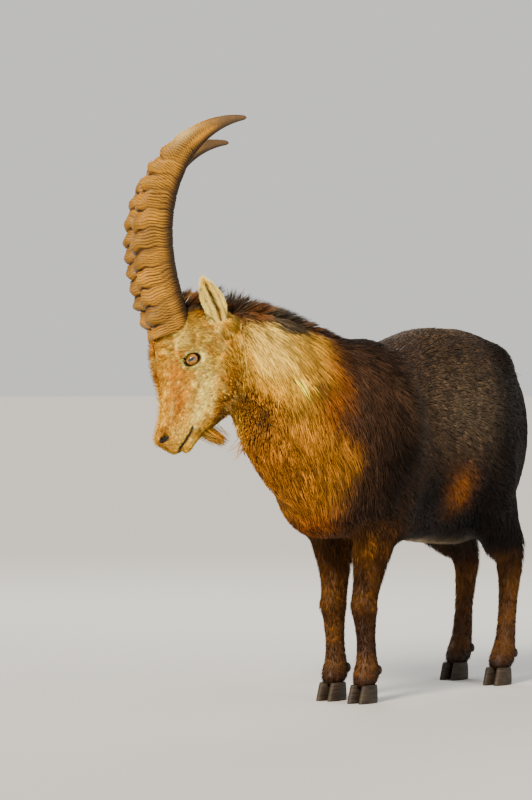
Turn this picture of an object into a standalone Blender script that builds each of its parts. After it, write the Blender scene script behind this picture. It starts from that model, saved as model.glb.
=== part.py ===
"""A standing male alpine ibex, life size, as closed solids.

Metres. The animal looks along -X, its left side faces -Y, +Z is up. The origin is on the floor,
under the middle of the whole animal, horns included. Every surface is the outside of the coat.
"""

import math
import random

import bmesh
import bpy
import numpy as np
from mathutils import Matrix, Vector
from mathutils.bvhtree import BVHTree

for old in list(bpy.data.objects):
    bpy.data.objects.remove(old, do_unlink=True)

# Driving dimensions
GAP = 0.0003
ORIGIN_SHIFT = Vector((0.1398, -0.1377, 0))
LEFT = Vector((0, -1, 0))
UP = Vector((0, 0, 1))

CLAY_VOXEL = 0.007
BODY_TRIANGLES = 5200
HEAD_SHARE = 0.012

# The head hangs from the poll, turned to the animal's right, nose down, its left side a little up
POLL = Vector((-0.638, 0.204, 0.9375))
HEAD_TURN = math.radians(52)
HEAD_PITCH = math.radians(68)
HEAD_TILT = math.radians(9)

HORN_LENGTH = 0.625
HORN_DEPTH = 0.098
HORN_WIDTH = 0.066
HORN_SPREAD = 0.150
HORN_KNOBS = 12
HORN_RINGS = 56
KNOB_HEIGHT = 0.009
HORN_BASE = (0.041, 0.103)
HORN_SIDE = 0.038

EYE_RADIUS = 0.0195
EYE_PLACE = Vector((0.102, 0.055, 0.0275))
EYE_OUT = Vector((0.16, 0.97, 0.14))
EYE_ALONG = Vector((-0.73, 0.05, -0.68))
EYE_OPENING = (0.0190, 0.0150)
LID_THICKNESS = 0.0045

MOUTH_LINE = [(0.250, -0.034), (0.272, -0.034), (0.296, -0.029), (0.312, -0.024)]
MOUTH_GROOVE = 0.0026

EAR_ROOT = Vector((-0.006, 0.070, -0.012))
EAR_TIP = Vector((-0.082, 0.115, 0.077))
EAR_OPENING = Vector((0.35, 0.90, 0.10))

# Locks: pairs of numbers run from the withers to the poll, or from the nape to the throat
CREST_ROWS = 9
CREST_SPAN = (0.44, 0.93)
CREST_LEAN = (0.42, 0.85)
CREST_ANGLES = (-14, 14)
CREST_SPREAD = 0.5
CREST_LENGTH = 0.088
CREST_WIDTH = 0.050
CREST_DEPTH = 0.009
CREST_LIFT = 0.004
CREST_CURL = 0.018
COAT_ROWS = 6
COAT_SPAN = (0.16, 0.88)
COAT_ANGLES = (52, 84, 116, 148, 180)
COAT_STAGGER = 7
COAT_FALL = (0.55, 1.2)
COAT_LENGTH = 0.140
COAT_WIDTH = 0.057
COAT_DEPTH = 0.008
COAT_LIFT = (0.014, 0.016)
COAT_CURL = 0.02
BEARD_ROOTS = (0.236, 0.252, 0.268)
BEARD_ROOT_OFF = (0.007, -0.054)
BEARD_LENGTH = 0.066
BEARD_WIDTH = 0.024
BEARD_DEPTH = 0.006
BEARD_LIFT = 0.001
BEARD_CURL = 0.008
POLL_ROOTS = [(0.026, 0.004), (0.018, -0.005), (0.010, 0.005), (0.002, -0.004)]
POLL_WIDTH = 0.036
POLL_DEPTH = 0.008
POLL_LIFT = 0.001
POLL_CURL = 0.010
TAIL_TUFT = [(0.080, -0.010), (0.080, 0.010), (0.105, 0.0), (0.120, -0.006), (0.120, 0.006)]
TUFT_LENGTH = 0.060
TUFT_WIDTH = 0.022
TUFT_DEPTH = 0.007
TUFT_LIFT = 0.002
TUFT_CURL = 0.006
TUFT_SUNK = 0.004
LOCK_REACH = 0.05
HEAD_MARGIN = 0.022
SHOULDER_MARGIN = 0.0528

CORONET = 0.045
TOE_WIDTH = 0.0305
DEWCLAW_HEIGHT = 0.080
DEWCLAW_SPREAD = 0.016
DEWCLAW_SIZE = (0.010, 0.008, 0.013)

TAIL_ROOT = Vector((0.503, 0.0, 0.812))
TAIL_WAY = Vector((0.95, 0.0, -0.312)).normalized()
TAIL_OFF = 0.025


# Making shapes

def head_matrix():
    """Head space to the animal's space: x runs from poll to muzzle, y to the left, z out of the face."""
    heading = Vector((-math.cos(HEAD_TURN), math.sin(HEAD_TURN), 0))
    level_left = UP.cross(heading)
    left = level_left * math.cos(HEAD_TILT) + UP * math.sin(HEAD_TILT)
    crown = UP * math.cos(HEAD_TILT) - level_left * math.sin(HEAD_TILT)
    forward = heading * math.cos(HEAD_PITCH) - crown * math.sin(HEAD_PITCH)
    dorsal = heading * math.sin(HEAD_PITCH) + crown * math.cos(HEAD_PITCH)
    turned = Matrix((forward, left, dorsal)).transposed().to_4x4()
    return Matrix.Translation(POLL) @ turned


HEAD = head_matrix()

# The cut between head and neck, in head space, and the one between neck and torso
NAPE_CUT = Vector((0.060, 0, -0.0923))
NAPE_WAY = Vector((0.377, 0, 0.926))
SHOULDER_CUT = Vector((-0.385, 0, 0.68))
SHOULDER_WAY = Vector((-0.90, 0, 0.43)).normalized()


def beyond_nape(point):
    """How far a point lies on the head's side of that cut."""
    return (HEAD.inverted() @ point - NAPE_CUT).dot(NAPE_WAY)


def closed_object(name, points, faces):
    mesh = bpy.data.meshes.new(name)
    mesh.from_pydata([tuple(p) for p in points], [], faces)
    bm = bmesh.new()
    bm.from_mesh(mesh)
    bmesh.ops.recalc_face_normals(bm, faces=bm.faces)
    bm.to_mesh(mesh)
    bm.free()
    obj = bpy.data.objects.new(name, mesh)
    bpy.context.collection.objects.link(obj)
    return obj


def through(rows, steps):
    """Rows of sizes on a smooth curve through the given ones, with this many steps between two."""
    rows = np.array(rows, float)
    padded = np.vstack([2 * rows[0] - rows[1], rows, 2 * rows[-1] - rows[-2]])
    made = []
    for before, a, b, after in zip(padded, padded[1:], padded[2:], padded[3:]):
        for k in range(steps):
            t = k / steps
            made.append(
                a
                + 0.5 * (b - before) * t
                + (before - 2.5 * a + 2 * b - 0.5 * after) * t**2
                + (1.5 * a - 0.5 * before - 1.5 * b + 0.5 * after) * t**3
            )
    made.append(rows[-1])
    return np.array(made)


def skin_rings(name, rings):
    """A closed object over rings of points, each ring with the same count, capped at both ends."""
    around = len(rings[0])
    points = [p for ring in rings for p in ring]
    faces = [list(range(around)), list(range(len(points) - around, len(points)))]
    for i in range(len(rings) - 1):
        a, b = i * around, (i + 1) * around
        for j in range(around):
            k = (j + 1) % around
            faces.append([a + j, a + k, b + k, b + j])
    return closed_object(name, points, faces)


def rounded(angle, power):
    """Cosine and sine, squared off when power is over 2."""
    c, s = math.cos(angle), math.sin(angle)
    return (
        math.copysign(abs(c) ** (2 / power), c),
        math.copysign(abs(s) ** (2 / power), s),
    )


def tube(name, rows, side=LEFT, around=24, steps=4, power=2.0, first_way=None):
    """A body of oval sections. A row is x, y, z, half width, reach to front or top, reach to the back or down."""
    rows = through(rows, steps)
    ways = np.gradient(rows[:, :3], axis=0)
    if first_way:
        ways[0] = first_way
    rings = []
    for row, way in zip(rows, ways):
        centre = Vector(row[:3])
        way = Vector(way).normalized()
        across = (side - way * side.dot(way)).normalized()
        over = way.cross(across)
        ring = []
        for j in range(around):
            c, s = rounded(2 * math.pi * j / around, power)
            reach = row[4] if s > 0 else row[5]
            ring.append(centre + across * (row[3] * c) + over * (reach * s))
        rings.append(ring)
    return skin_rings(name, rings)


def lump(name, centre, radii, turn=None, segments=20):
    """An ellipsoid of flesh."""
    bpy.ops.mesh.primitive_uv_sphere_add(segments=segments, ring_count=segments // 2, radius=1)
    obj = bpy.context.object
    obj.name = name
    place = Matrix.Translation(centre) @ (turn or Matrix.Identity(4)) @ Matrix.Diagonal((*radii, 1))
    obj.data.transform(place)
    return obj


def into_head(obj):
    obj.data.transform(HEAD)
    return obj


def mirrored(point, sign):
    return Vector((point[0], sign * point[1], point[2]))


# Working on shapes

def only(obj):
    bpy.ops.object.select_all(action="DESELECT")
    obj.select_set(True)
    bpy.context.view_layer.objects.active = obj


def apply_modifier(obj, modifier):
    only(obj)
    bpy.ops.object.modifier_apply(modifier=modifier.name)


def joined(name, objects):
    only(objects[0])
    for obj in objects:
        obj.select_set(True)
    bpy.ops.object.join()
    objects[0].name = name
    return objects[0]


def boolean(obj, other, operation, solver="EXACT"):
    """Joins or cuts by another object, or by all in a list, which is then removed."""
    modifier = obj.modifiers.new("boolean", "BOOLEAN")
    modifier.operation = operation
    modifier.solver = solver
    if isinstance(other, list):
        group = bpy.data.collections.new("pieces")
        for piece in other:
            group.objects.link(piece)
        modifier.operand_type = "COLLECTION"
        modifier.collection = group
    else:
        modifier.object = other
    apply_modifier(obj, modifier)
    for piece in other if isinstance(other, list) else [other]:
        bpy.data.objects.remove(piece, do_unlink=True)
    return obj


def loose_parts(obj):
    only(obj)
    bpy.ops.mesh.separate(type="LOOSE")
    return list(bpy.context.selected_objects)


def volume(obj):
    bm = bmesh.new()
    bm.from_mesh(obj.data)
    found = bm.calc_volume()
    bm.free()
    return found


def keep_largest(obj):
    """Only the largest closed surface stays."""
    name = obj.name
    parts = sorted(loose_parts(obj), key=volume)
    for scrap in parts[:-1]:
        bpy.data.objects.remove(scrap, do_unlink=True)
    parts[-1].name = name
    return parts[-1]


def middle(obj):
    points = np.array([v.co for v in obj.data.vertices])
    return Vector((points.min(0) + points.max(0)) / 2)


def slab(centre, normal, size, thickness=GAP):
    """A thin square plate that parts one body from another."""
    bpy.ops.mesh.primitive_cube_add(size=1)
    obj = bpy.context.object
    turn = Vector(normal).to_track_quat("Z", "Y").to_matrix().to_4x4()
    sized = Matrix.Diagonal((size[0], size[1], thickness, 1))
    obj.data.transform(Matrix.Translation(centre) @ turn @ sized)
    return obj


# Trunk, neck and legs, as overlapping ovals that are then fused

TRUNK = [
    # x, y, z, half width, up, down
    (0.472, 0, 0.760, 0.045, 0.050, 0.080),
    (0.444, 0, 0.748, 0.092, 0.106, 0.150),
    (0.388, 0, 0.725, 0.138, 0.178, 0.225),
    (0.300, 0, 0.700, 0.168, 0.240, 0.290),
    (0.190, 0, 0.670, 0.186, 0.272, 0.300),
    (0.070, 0, 0.650, 0.190, 0.284, 0.270),
    (-0.050, 0, 0.640, 0.184, 0.272, 0.244),
    (-0.160, 0, 0.630, 0.174, 0.268, 0.234),
    (-0.260, 0, 0.620, 0.168, 0.286, 0.230),
    (-0.350, 0, 0.605, 0.158, 0.280, 0.215),
    (-0.430, 0, 0.565, 0.142, 0.195, 0.170),
    (-0.485, 0, 0.535, 0.115, 0.140, 0.125),
    (-0.515, 0, 0.530, 0.060, 0.070, 0.070),
]

NECK = [
    (-0.160, 0.000, 0.660, 0.120, 0.190, 0.190),
    (-0.270, 0.000, 0.690, 0.140, 0.195, 0.250),
    (-0.370, 0.015, 0.730, 0.138, 0.178, 0.285),
    (-0.465, 0.055, 0.785, 0.120, 0.155, 0.262),
    (-0.545, 0.108, 0.845, 0.098, 0.132, 0.192),
    (-0.605, 0.155, 0.885, 0.082, 0.110, 0.138),
    (-0.640, 0.190, 0.905, 0.068, 0.088, 0.106),
]

FORELEG = [
    # x and y from the hoof's middle, then z, half width, front, back
    (0.020, 0.045, 0.620, 0.050, 0.100, 0.110),
    (0.015, 0.040, 0.520, 0.062, 0.095, 0.095),
    (0.022, 0.022, 0.440, 0.057, 0.082, 0.074),
    (0.020, 0.010, 0.380, 0.047, 0.060, 0.054),
    (0.014, 0.004, 0.320, 0.038, 0.043, 0.041),
    (0.006, 0.000, 0.270, 0.034, 0.040, 0.032),
    (0.002, 0.000, 0.240, 0.036, 0.046, 0.032),
    (0.004, 0.000, 0.205, 0.030, 0.032, 0.030),
    (0.008, 0.000, 0.150, 0.0265, 0.0265, 0.0285),
    (0.010, 0.000, 0.105, 0.029, 0.028, 0.034),
    (0.008, 0.000, 0.078, 0.034, 0.034, 0.046),
    (0.000, 0.000, 0.055, 0.031, 0.038, 0.036),
    (-0.004, 0.000, 0.030, 0.031, 0.036, 0.032),
]

HINDLEG = [
    (-0.020, 0.006, 0.760, 0.056, 0.150, 0.080),
    (-0.078, 0.010, 0.660, 0.072, 0.170, 0.082),
    (-0.106, 0.020, 0.580, 0.075, 0.160, 0.084),
    (-0.104, 0.026, 0.510, 0.066, 0.130, 0.090),
    (-0.050, 0.022, 0.450, 0.052, 0.105, 0.074),
    (0.010, 0.010, 0.395, 0.042, 0.085, 0.052),
    (0.048, 0.004, 0.350, 0.036, 0.055, 0.048),
    (0.060, 0.000, 0.310, 0.034, 0.044, 0.042),
    (0.058, 0.000, 0.270, 0.030, 0.034, 0.032),
    (0.046, 0.000, 0.190, 0.0265, 0.028, 0.029),
    (0.034, 0.000, 0.115, 0.029, 0.030, 0.034),
    (0.022, 0.000, 0.080, 0.033, 0.034, 0.044),
    (0.004, 0.000, 0.055, 0.031, 0.038, 0.036),
    (0.000, 0.000, 0.030, 0.031, 0.036, 0.032),
]

FEET = {
    # where each hoof stands, and which side it is on: -1 left, 1 right
    "foreleg_left": ((-0.330, -0.050), -1, FORELEG),
    "foreleg_right": ((-0.300, 0.056), 1, FORELEG),
    "hindleg_left": ((0.310, -0.100), -1, HINDLEG),
    "hindleg_right": ((0.400, 0.075), 1, HINDLEG),
}

# Where the legs part from the trunk: a shallow V across the animal, its lowest point and its x range
LEG_CUT_SLOPE = 0.58
LEG_CUTS = {"foreleg": (0.350, -0.50, -0.12), "hindleg": (0.345, 0.02, 0.60)}


def leg_rows(foot, side, rows):
    return [(foot[0] + x, foot[1] + side * y, z, w, f, b) for x, y, z, w, f, b in rows]


def body_clay():
    clay = [
        tube("trunk", TRUNK, side=LEFT, around=32, power=2.2),
        tube("neck_core", NECK, around=28),
    ]
    for name, (foot, side, rows) in FEET.items():
        clay.append(tube(name + "_core", leg_rows(foot, side, rows), around=20))
    for side in (-1, 1):
        lumps = {
            # place and radii
            "shoulder": ((-0.265, 0.105, 0.640), (0.110, 0.075, 0.190)),
            "upper_arm": ((-0.290, 0.092, 0.500), (0.110, 0.062, 0.100)),
            "hip": ((0.270, 0.085, 0.800), (0.100, 0.070, 0.100)),
            "breast": ((-0.440, 0.048, 0.532), (0.064, 0.068, 0.108)),
        }
        for name, (place, radii) in lumps.items():
            clay.append(lump(name, mirrored(place, side), radii))
    clay.append(lump("tail_root", TAIL_ROOT - TAIL_WAY * 0.034, (0.048, 0.034, 0.034)))
    return clay


# The head, in head space: x from the poll to the muzzle, y to the left, z out of the face

SKULL = [
    # x, y, z, half width, out of the face, towards the jaw
    (-0.040, 0, -0.030, 0.055, 0.070, 0.075),
    (0.000, 0, -0.022, 0.068, 0.105, 0.108),
    (0.040, 0, -0.010, 0.072, 0.128, 0.125),
    (0.080, 0, 0.000, 0.067, 0.136, 0.132),
    (0.118, 0, -0.002, 0.062, 0.120, 0.130),
    (0.155, 0, -0.008, 0.055, 0.102, 0.114),
    (0.190, 0, -0.012, 0.049, 0.086, 0.094),
    (0.225, 0, -0.012, 0.042, 0.072, 0.072),
    (0.258, 0, -0.008, 0.038, 0.058, 0.048),
    (0.286, 0, -0.004, 0.037, 0.046, 0.034),
    (0.308, 0, -0.004, 0.034, 0.038, 0.030),
    (0.322, 0, -0.006, 0.026, 0.024, 0.024),
    (0.328, 0, -0.006, 0.014, 0.012, 0.012),
]

CHIN = [
    (0.200, 0, -0.070, 0.024, 0.020, 0.022),
    (0.240, 0, -0.055, 0.024, 0.020, 0.018),
    (0.275, 0, -0.044, 0.024, 0.018, 0.016),
    (0.302, 0, -0.038, 0.022, 0.016, 0.015),
    (0.314, 0, -0.036, 0.012, 0.009, 0.009),
]


def horn_turn(t):
    """How far the horn has turned back from the line up through the poll, at a share t of its length."""
    return math.radians(-21 + 25 * t + 86 * t * t)


def horn_line(count):
    """Places along the horn in head space: (share, centre in x and z, way, front)."""
    rise = Vector((-0.932, 0.363))
    back = Vector((-0.363, -0.932))
    place = Vector(HORN_BASE)
    found = []
    for i in range(count + 1):
        t = i / count
        turn = horn_turn(t)
        way = rise * math.cos(turn) + back * math.sin(turn)
        front = rise * math.sin(turn) - back * math.cos(turn)
        found.append((t, place.copy(), way, front))
        place += way * (HORN_LENGTH / count)
    return found


def in_head(flat, side):
    return Vector((flat.x, side, flat.y))


def horn_taper(t):
    return float(np.interp(
        t,
        [0, 0.15, 0.35, 0.5, 0.62, 0.72, 0.82, 0.91, 1.0],
        [1, 1.02, 0.99, 0.94, 0.83, 0.68, 0.49, 0.30, 0.09],
    ))


def knob(t):
    """Height of the knobs on the front of the horn, 0 to 1, at a share t of its length."""
    along = t / 0.80 * HORN_KNOBS
    if along >= HORN_KNOBS:
        return 0.0
    beat = math.sin(math.pi * (along % 1.0)) ** 2
    fade = min(1.0, (HORN_KNOBS - along) / 4)
    return beat * fade


def horn_ring(place, side, grow=1.0, around=10):
    t, flat, way, front = place
    across = HORN_SIDE + HORN_SPREAD * t - 0.02 * t * t
    centre = in_head(flat, side * across)
    outward = Vector((0, side, 0))
    ahead = in_head(front, 0)
    size = horn_taper(t) * grow
    ring = []
    for j in range(around):
        c, s = rounded(2 * math.pi * j / around, 2.5)
        wide = HORN_WIDTH / 2 * size * (0.90 + 0.14 * s)
        deep = HORN_DEPTH / 2 * size
        facing = min(1.0, max(0.0, (s - 0.1) / 0.6))
        rise = KNOB_HEIGHT * knob(t) * facing
        ring.append(centre + outward * (c * (wide + 0.25 * rise)) + ahead * (s * deep + rise))
    return ring


def horn(name, side):
    places = horn_line(HORN_RINGS)
    obj = skin_rings(name, [horn_ring(p, side) for p in places])
    return into_head(obj)


def horn_seat(side):
    """The room above the plane that the horn stands on."""
    places = horn_line(HORN_RINGS)[:6]
    rings = [horn_ring(p, side, grow=1.35) for p in places]
    sunk = in_head(places[0][2], 0) * GAP
    rings[0] = [p - sunk for p in rings[0]]
    return into_head(skin_rings("horn_seat", rings))


def horn_stump(side):
    """The skin-covered core that the horn stands on."""
    t, flat, way, front = horn_line(HORN_RINGS)[0]
    inner = (t, flat - way * 0.055, way, front)
    outer = (t, flat + way * 0.012, way, front)
    rings = [horn_ring(inner, side, grow=1.1), horn_ring(outer, side, grow=1.14)]
    return into_head(skin_rings("horn_stump", rings))


def head_clay():
    clay = [
        into_head(tube("skull", SKULL, side=Vector((0, 1, 0)), around=28, power=2.3)),
        into_head(tube("chin", CHIN, side=Vector((0, 1, 0)), around=18)),
    ]
    for side in (1, -1):
        lumps = {
            # place and radii
            "brow": ((0.066, 0.052, 0.060), (0.046, 0.021, 0.026)),
            "forehead": ((0.090, 0.030, 0.090), (0.050, 0.032, 0.034)),
            "cheekbone": ((0.130, 0.050, -0.004), (0.044, 0.014, 0.016)),
            "cheek": ((0.120, 0.040, -0.062), (0.055, 0.030, 0.050)),
            "lip": ((0.288, 0.022, -0.004), (0.034, 0.018, 0.030)),
            "nostril_wing": ((0.302, 0.022, 0.022), (0.020, 0.013, 0.016)),
            "ear_base": ((0.002, 0.064, -0.018), (0.030, 0.026, 0.028)),
        }
        for name, (place, radii) in lumps.items():
            clay.append(into_head(lump(name, mirrored(place, side), radii)))
        clay.append(horn_stump(side))
    return clay


def fused_body():
    clay = joined("flesh", body_clay() + head_clay())
    remesh = clay.modifiers.new("fuse", "REMESH")
    remesh.mode = "VOXEL"
    remesh.voxel_size = CLAY_VOXEL
    apply_modifier(clay, remesh)
    soft = clay.vertex_groups.new(name="soft")
    coarse = clay.vertex_groups.new(name="coarse")
    for v in clay.data.vertices:
        face = min(1.0, max(0.0, beyond_nape(v.co) / 0.05 + 1))
        leg = min(1.0, max(0.0, (0.50 - v.co.z) / 0.14)) * (1 - face)
        soft.add([v.index], 1.0 - 0.95 * face - 0.80 * leg, "REPLACE")
        coarse.add([v.index], 1.0 - 0.5 * face, "REPLACE")
    smooth = clay.modifiers.new("smooth", "SMOOTH")
    smooth.factor = 0.5
    smooth.iterations = 60
    smooth.vertex_group = "soft"
    apply_modifier(clay, smooth)
    thin = clay.modifiers.new("thin", "DECIMATE")
    thin.ratio = BODY_TRIANGLES / (2 * len(clay.data.polygons))
    thin.vertex_group = "coarse"
    thin.vertex_group_factor = HEAD_SHARE
    apply_modifier(clay, thin)
    clay.vertex_groups.clear()
    return clay


def leg_slab(low, x_start, x_end):
    """A thin plate bent to a V, under the belly and through both legs of a pair."""
    points = []
    for lift in (0, GAP / math.cos(math.atan(LEG_CUT_SLOPE))):
        for x in (x_start, x_end):
            for y in (-0.28, 0, 0.28):
                points.append((x, y, low + LEG_CUT_SLOPE * abs(y) + lift))
    faces = [(0, 1, 4, 3), (1, 2, 5, 4), (6, 9, 10, 7), (7, 10, 11, 8)]
    faces += [(0, 6, 7, 1), (1, 7, 8, 2), (3, 4, 10, 9), (4, 5, 11, 10), (0, 3, 9, 6), (2, 8, 11, 5)]
    return closed_object("leg_slab", points, faces)


def parted_body(flesh):
    """The fused body parted into head, neck, torso and legs by thin cuts."""
    nape = slab(HEAD @ NAPE_CUT, HEAD.to_3x3() @ NAPE_WAY, (0.56, 0.56))
    shoulder = slab(SHOULDER_CUT, SHOULDER_WAY, (0.64, 0.64))
    for cutter in [nape, shoulder] + [leg_slab(*cut) for cut in LEG_CUTS.values()]:
        boolean(flesh, cutter, "DIFFERENCE")
    found = {}
    for part in loose_parts(flesh):
        place = middle(part)
        if place.z < 0.35:
            name = "foreleg_" if place.x < 0 else "hindleg_"
            name += "left" if place.y < 0 else "right"
        elif place.x > -0.2:
            name = "torso"
        else:
            name = "head" if beyond_nape(place) > 0 else "neck"
        part.name = name
        found[name] = part
    return found


def flat_seat(body, place, way, radius, height):
    """Cuts the body flat across a way, at a place, for what is fixed there."""
    bpy.ops.mesh.primitive_cone_add(vertices=20, radius1=radius, radius2=radius * 1.3, depth=height)
    cutter = bpy.context.object
    turn = way.to_track_quat("Z", "Y").to_matrix().to_4x4()
    cutter.data.transform(Matrix.Translation(place + way * (height / 2)) @ turn)
    boolean(body, cutter, "DIFFERENCE", "MANIFOLD")


def surface_finder(body, space=Matrix.Identity(4)):
    """A function that gives the body's surface along a ray, both in the given space."""
    back = space.inverted()
    corners = [back @ v.co for v in body.data.vertices]
    tree = BVHTree.FromPolygons(corners, [list(f.vertices) for f in body.data.polygons])

    def surface(start, way):
        return tree.ray_cast(Vector(start), Vector(way).normalized())[0]

    surface.hit = lambda start, way: tree.ray_cast(start, way)[:2]

    return surface


# Eyes, lids, nostrils and mouth

def eye_frame(side):
    """The eye's place, the way it looks, the way from its front corner to its rear one, and up."""
    out = mirrored(EYE_OUT, side).normalized()
    along = mirrored(EYE_ALONG, side)
    along = (along - out * along.dot(out)).normalized()
    return mirrored(EYE_PLACE, side), out, along, out.cross(along)


def ball(name, centre, radius):
    bpy.ops.mesh.primitive_ico_sphere_add(subdivisions=3, radius=radius)
    obj = bpy.context.object
    obj.name = name
    obj.data.transform(Matrix.Translation(centre))
    return obj


def eye_opening(side):
    """An almond-shaped plug that opens the lids over the eyeball."""
    centre, out, along, across = eye_frame(side)
    rings = []
    for depth in (0.0, 0.05):
        ring = []
        for j in range(18):
            c, s = rounded(2 * math.pi * j / 18, 1.75)
            ring.append(centre + out * depth + along * (c * EYE_OPENING[0]) + across * (s * EYE_OPENING[1]))
        rings.append(ring)
    return into_head(skin_rings("eye_opening", rings))


def nostril(surface, side):
    """A slanting comma of a hole, on the muzzle's side."""
    mouth = surface((0.302, side * 0.2, 0.021), (0, -side, 0))
    turn = Matrix.Rotation(math.radians(-35), 4, "Y")
    return into_head(lump("nostril", mouth, (0.011, 0.009, 0.0055), turn, segments=12))


def mouth_groove(surface):
    """A round groove from one corner of the mouth over the front of the muzzle to the other."""
    path = []
    for side in (1, -1):
        half = [surface((f, side * 0.2, d), (0, -side, 0)) for f, d in MOUTH_LINE]
        path += half if side > 0 else half[::-1]
    front = surface((0.45, 0, -0.022), (-1, 0, 0))
    path.insert(len(MOUTH_LINE), front)
    line = through(path, 3)
    ways = np.gradient(line, axis=0)
    rings = []
    for i, (place, way) in enumerate(zip(line, ways)):
        way = Vector(way).normalized()
        fade = max(0.35, math.sin(math.pi * i / (len(line) - 1)) ** 0.3)
        level = Vector((0, 0, 1))
        across = way.cross(level).normalized()
        over = across.cross(way)
        ring = []
        for j in range(6):
            a = 2 * math.pi * j / 6
            ring.append(Vector(place) + (across * math.cos(a) + over * math.sin(a)) * MOUTH_GROOVE * fade)
        rings.append(ring)
    return into_head(skin_rings("mouth_groove", rings))


def finish_head(head, locks):
    """Seats for horns and ears, lids, sockets, mouth and nostrils, then the locks.

    The exact solver leaves open edges on these small cuts, so all of them use the manifold one.
    """
    for side in (1, -1):
        boolean(head, horn_seat(side), "DIFFERENCE", "MANIFOLD")
        root, way, face, across = ear_frame(side)
        flat_seat(head, HEAD @ root, HEAD.to_3x3() @ way, 0.024, 0.03)
        centre = HEAD @ eye_frame(side)[0]
        boolean(head, ball("lids", centre, EYE_RADIUS + LID_THICKNESS), "UNION", "MANIFOLD")
        boolean(head, eye_opening(side), "DIFFERENCE", "MANIFOLD")
        boolean(head, ball("socket", centre, EYE_RADIUS + GAP), "DIFFERENCE", "MANIFOLD")
    surface = surface_finder(head, HEAD)
    cutters = [mouth_groove(surface)] + [nostril(surface, side) for side in (1, -1)]
    for cutter in cutters:
        boolean(head, cutter, "DIFFERENCE", "MANIFOLD")
    boolean(head, locks, "UNION", "MANIFOLD")
    return keep_largest(head)


# Ears

EAR = [
    # share of the length, half width, depth of the back, depth of the hollow; below 0 it bulges
    (0.00, 0.014, 0.012, -0.011),
    (0.10, 0.016, 0.013, -0.009),
    (0.20, 0.021, 0.015, 0.001),
    (0.32, 0.0265, 0.017, 0.0105),
    (0.48, 0.0290, 0.0170, 0.0125),
    (0.64, 0.0270, 0.0145, 0.0108),
    (0.79, 0.0205, 0.0105, 0.0073),
    (0.91, 0.0120, 0.0066, 0.0038),
    (1.00, 0.0035, 0.0030, 0.0008),
]


def ear_frame(side):
    """The ear's root, its length's way, the way its opening faces and its width's way."""
    root = mirrored(EAR_ROOT, side)
    way = (mirrored(EAR_TIP, side) - root).normalized()
    face = mirrored(EAR_OPENING, side)
    face = (face - way * face.dot(way)).normalized()
    return root, way, face, way.cross(face)


def ear(name, side):
    root, way, face, across = ear_frame(side)
    length = (EAR_TIP - EAR_ROOT).length
    rings = []
    for share, wide, back, hollow in through(EAR, 1):
        centre = root + way * (GAP + share * length)
        rim = 0.0018 * min(1, wide / 0.015)
        ring = []
        for j in range(8):
            a = math.pi * (j / 7 - 0.5)
            ring.append(centre + across * (wide * math.sin(a)) - face * (back * math.cos(a)))
        for j in range(6, 0, -1):
            a = math.pi * (j / 7 - 0.5)
            ring.append(centre + across * ((wide - rim) * math.sin(a)) - face * (hollow * math.cos(a)))
        rings.append(ring)
    return into_head(skin_rings(name, rings))


# Long hair, as flat tapering locks that are rooted in the flesh and lie over one another

LOCK = [
    # share of the length, of the width and of the depth, height off the skin; below 0 it is sunk
    (-0.14, 0.70, 0.60, -0.90),
    (0.14, 1.00, 1.00, 0.30),
    (0.48, 0.92, 0.85, 0.80),
    (0.80, 0.55, 0.60, 1.00),
    (1.00, 0.05, 0.08, 0.85),
]


def lock(root, out, lie, length, width, depth, lift, curl=0.0, skin=None):
    """One lock. It leaves the root along its lie, rises off the skin and curls to a side."""
    lie = (lie - out * lie.dot(out) * (skin is not None)).normalized()
    across = lie.cross(out).normalized()
    out = across.cross(lie)
    rings = []
    for share, wide, deep, rise in LOCK:
        place = root + lie * (length * share) + across * (curl * share * abs(share))
        if skin and share > 0:
            under, _ = skin.hit(place + out * 2 * LOCK_REACH, -out)
            if under and (under - place).dot(out) > -LOCK_REACH:
                place = under
        place = place + out * (lift * rise)
        side = across * (width / 2 * wide)
        rings.append([place - side, place + out * (depth * deep), place + side])
    return skin_rings("lock", rings)


def neck_frame(share):
    """A place on the neck's axis, 0 at the withers and 1 at the head, with the ways forward, left and up."""
    rows = through(NECK, 8)[:, :3]
    spot = share * (len(rows) - 1)
    place = Vector([np.interp(spot, range(len(rows)), rows[:, k]) for k in range(3)])
    ahead = min(len(rows) - 1, int(spot) + 1)
    way = Vector(rows[ahead] - rows[ahead - 1]).normalized()
    across = (LEFT - way * LEFT.dot(way)).normalized()
    return place, way, across, way.cross(across)


def in_neck(point):
    """True where a root is far enough from both cuts for its lock to clear the nodes beyond them."""
    behind_head = -beyond_nape(point)
    before_shoulder = (point - SHOULDER_CUT).dot(SHOULDER_WAY)
    return behind_head > HEAD_MARGIN and before_shoulder > SHOULDER_MARGIN


def neck_root(skin, share, angle):
    """A root on the neck's skin, at an angle from the nape, the way out of the skin and back along it."""
    place, way, across, over = neck_frame(share)
    ray = over * math.cos(angle) + across * math.sin(angle)
    root, normal = skin.hit(place, ray)
    return root, (normal + ray).normalized(), -way


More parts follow.
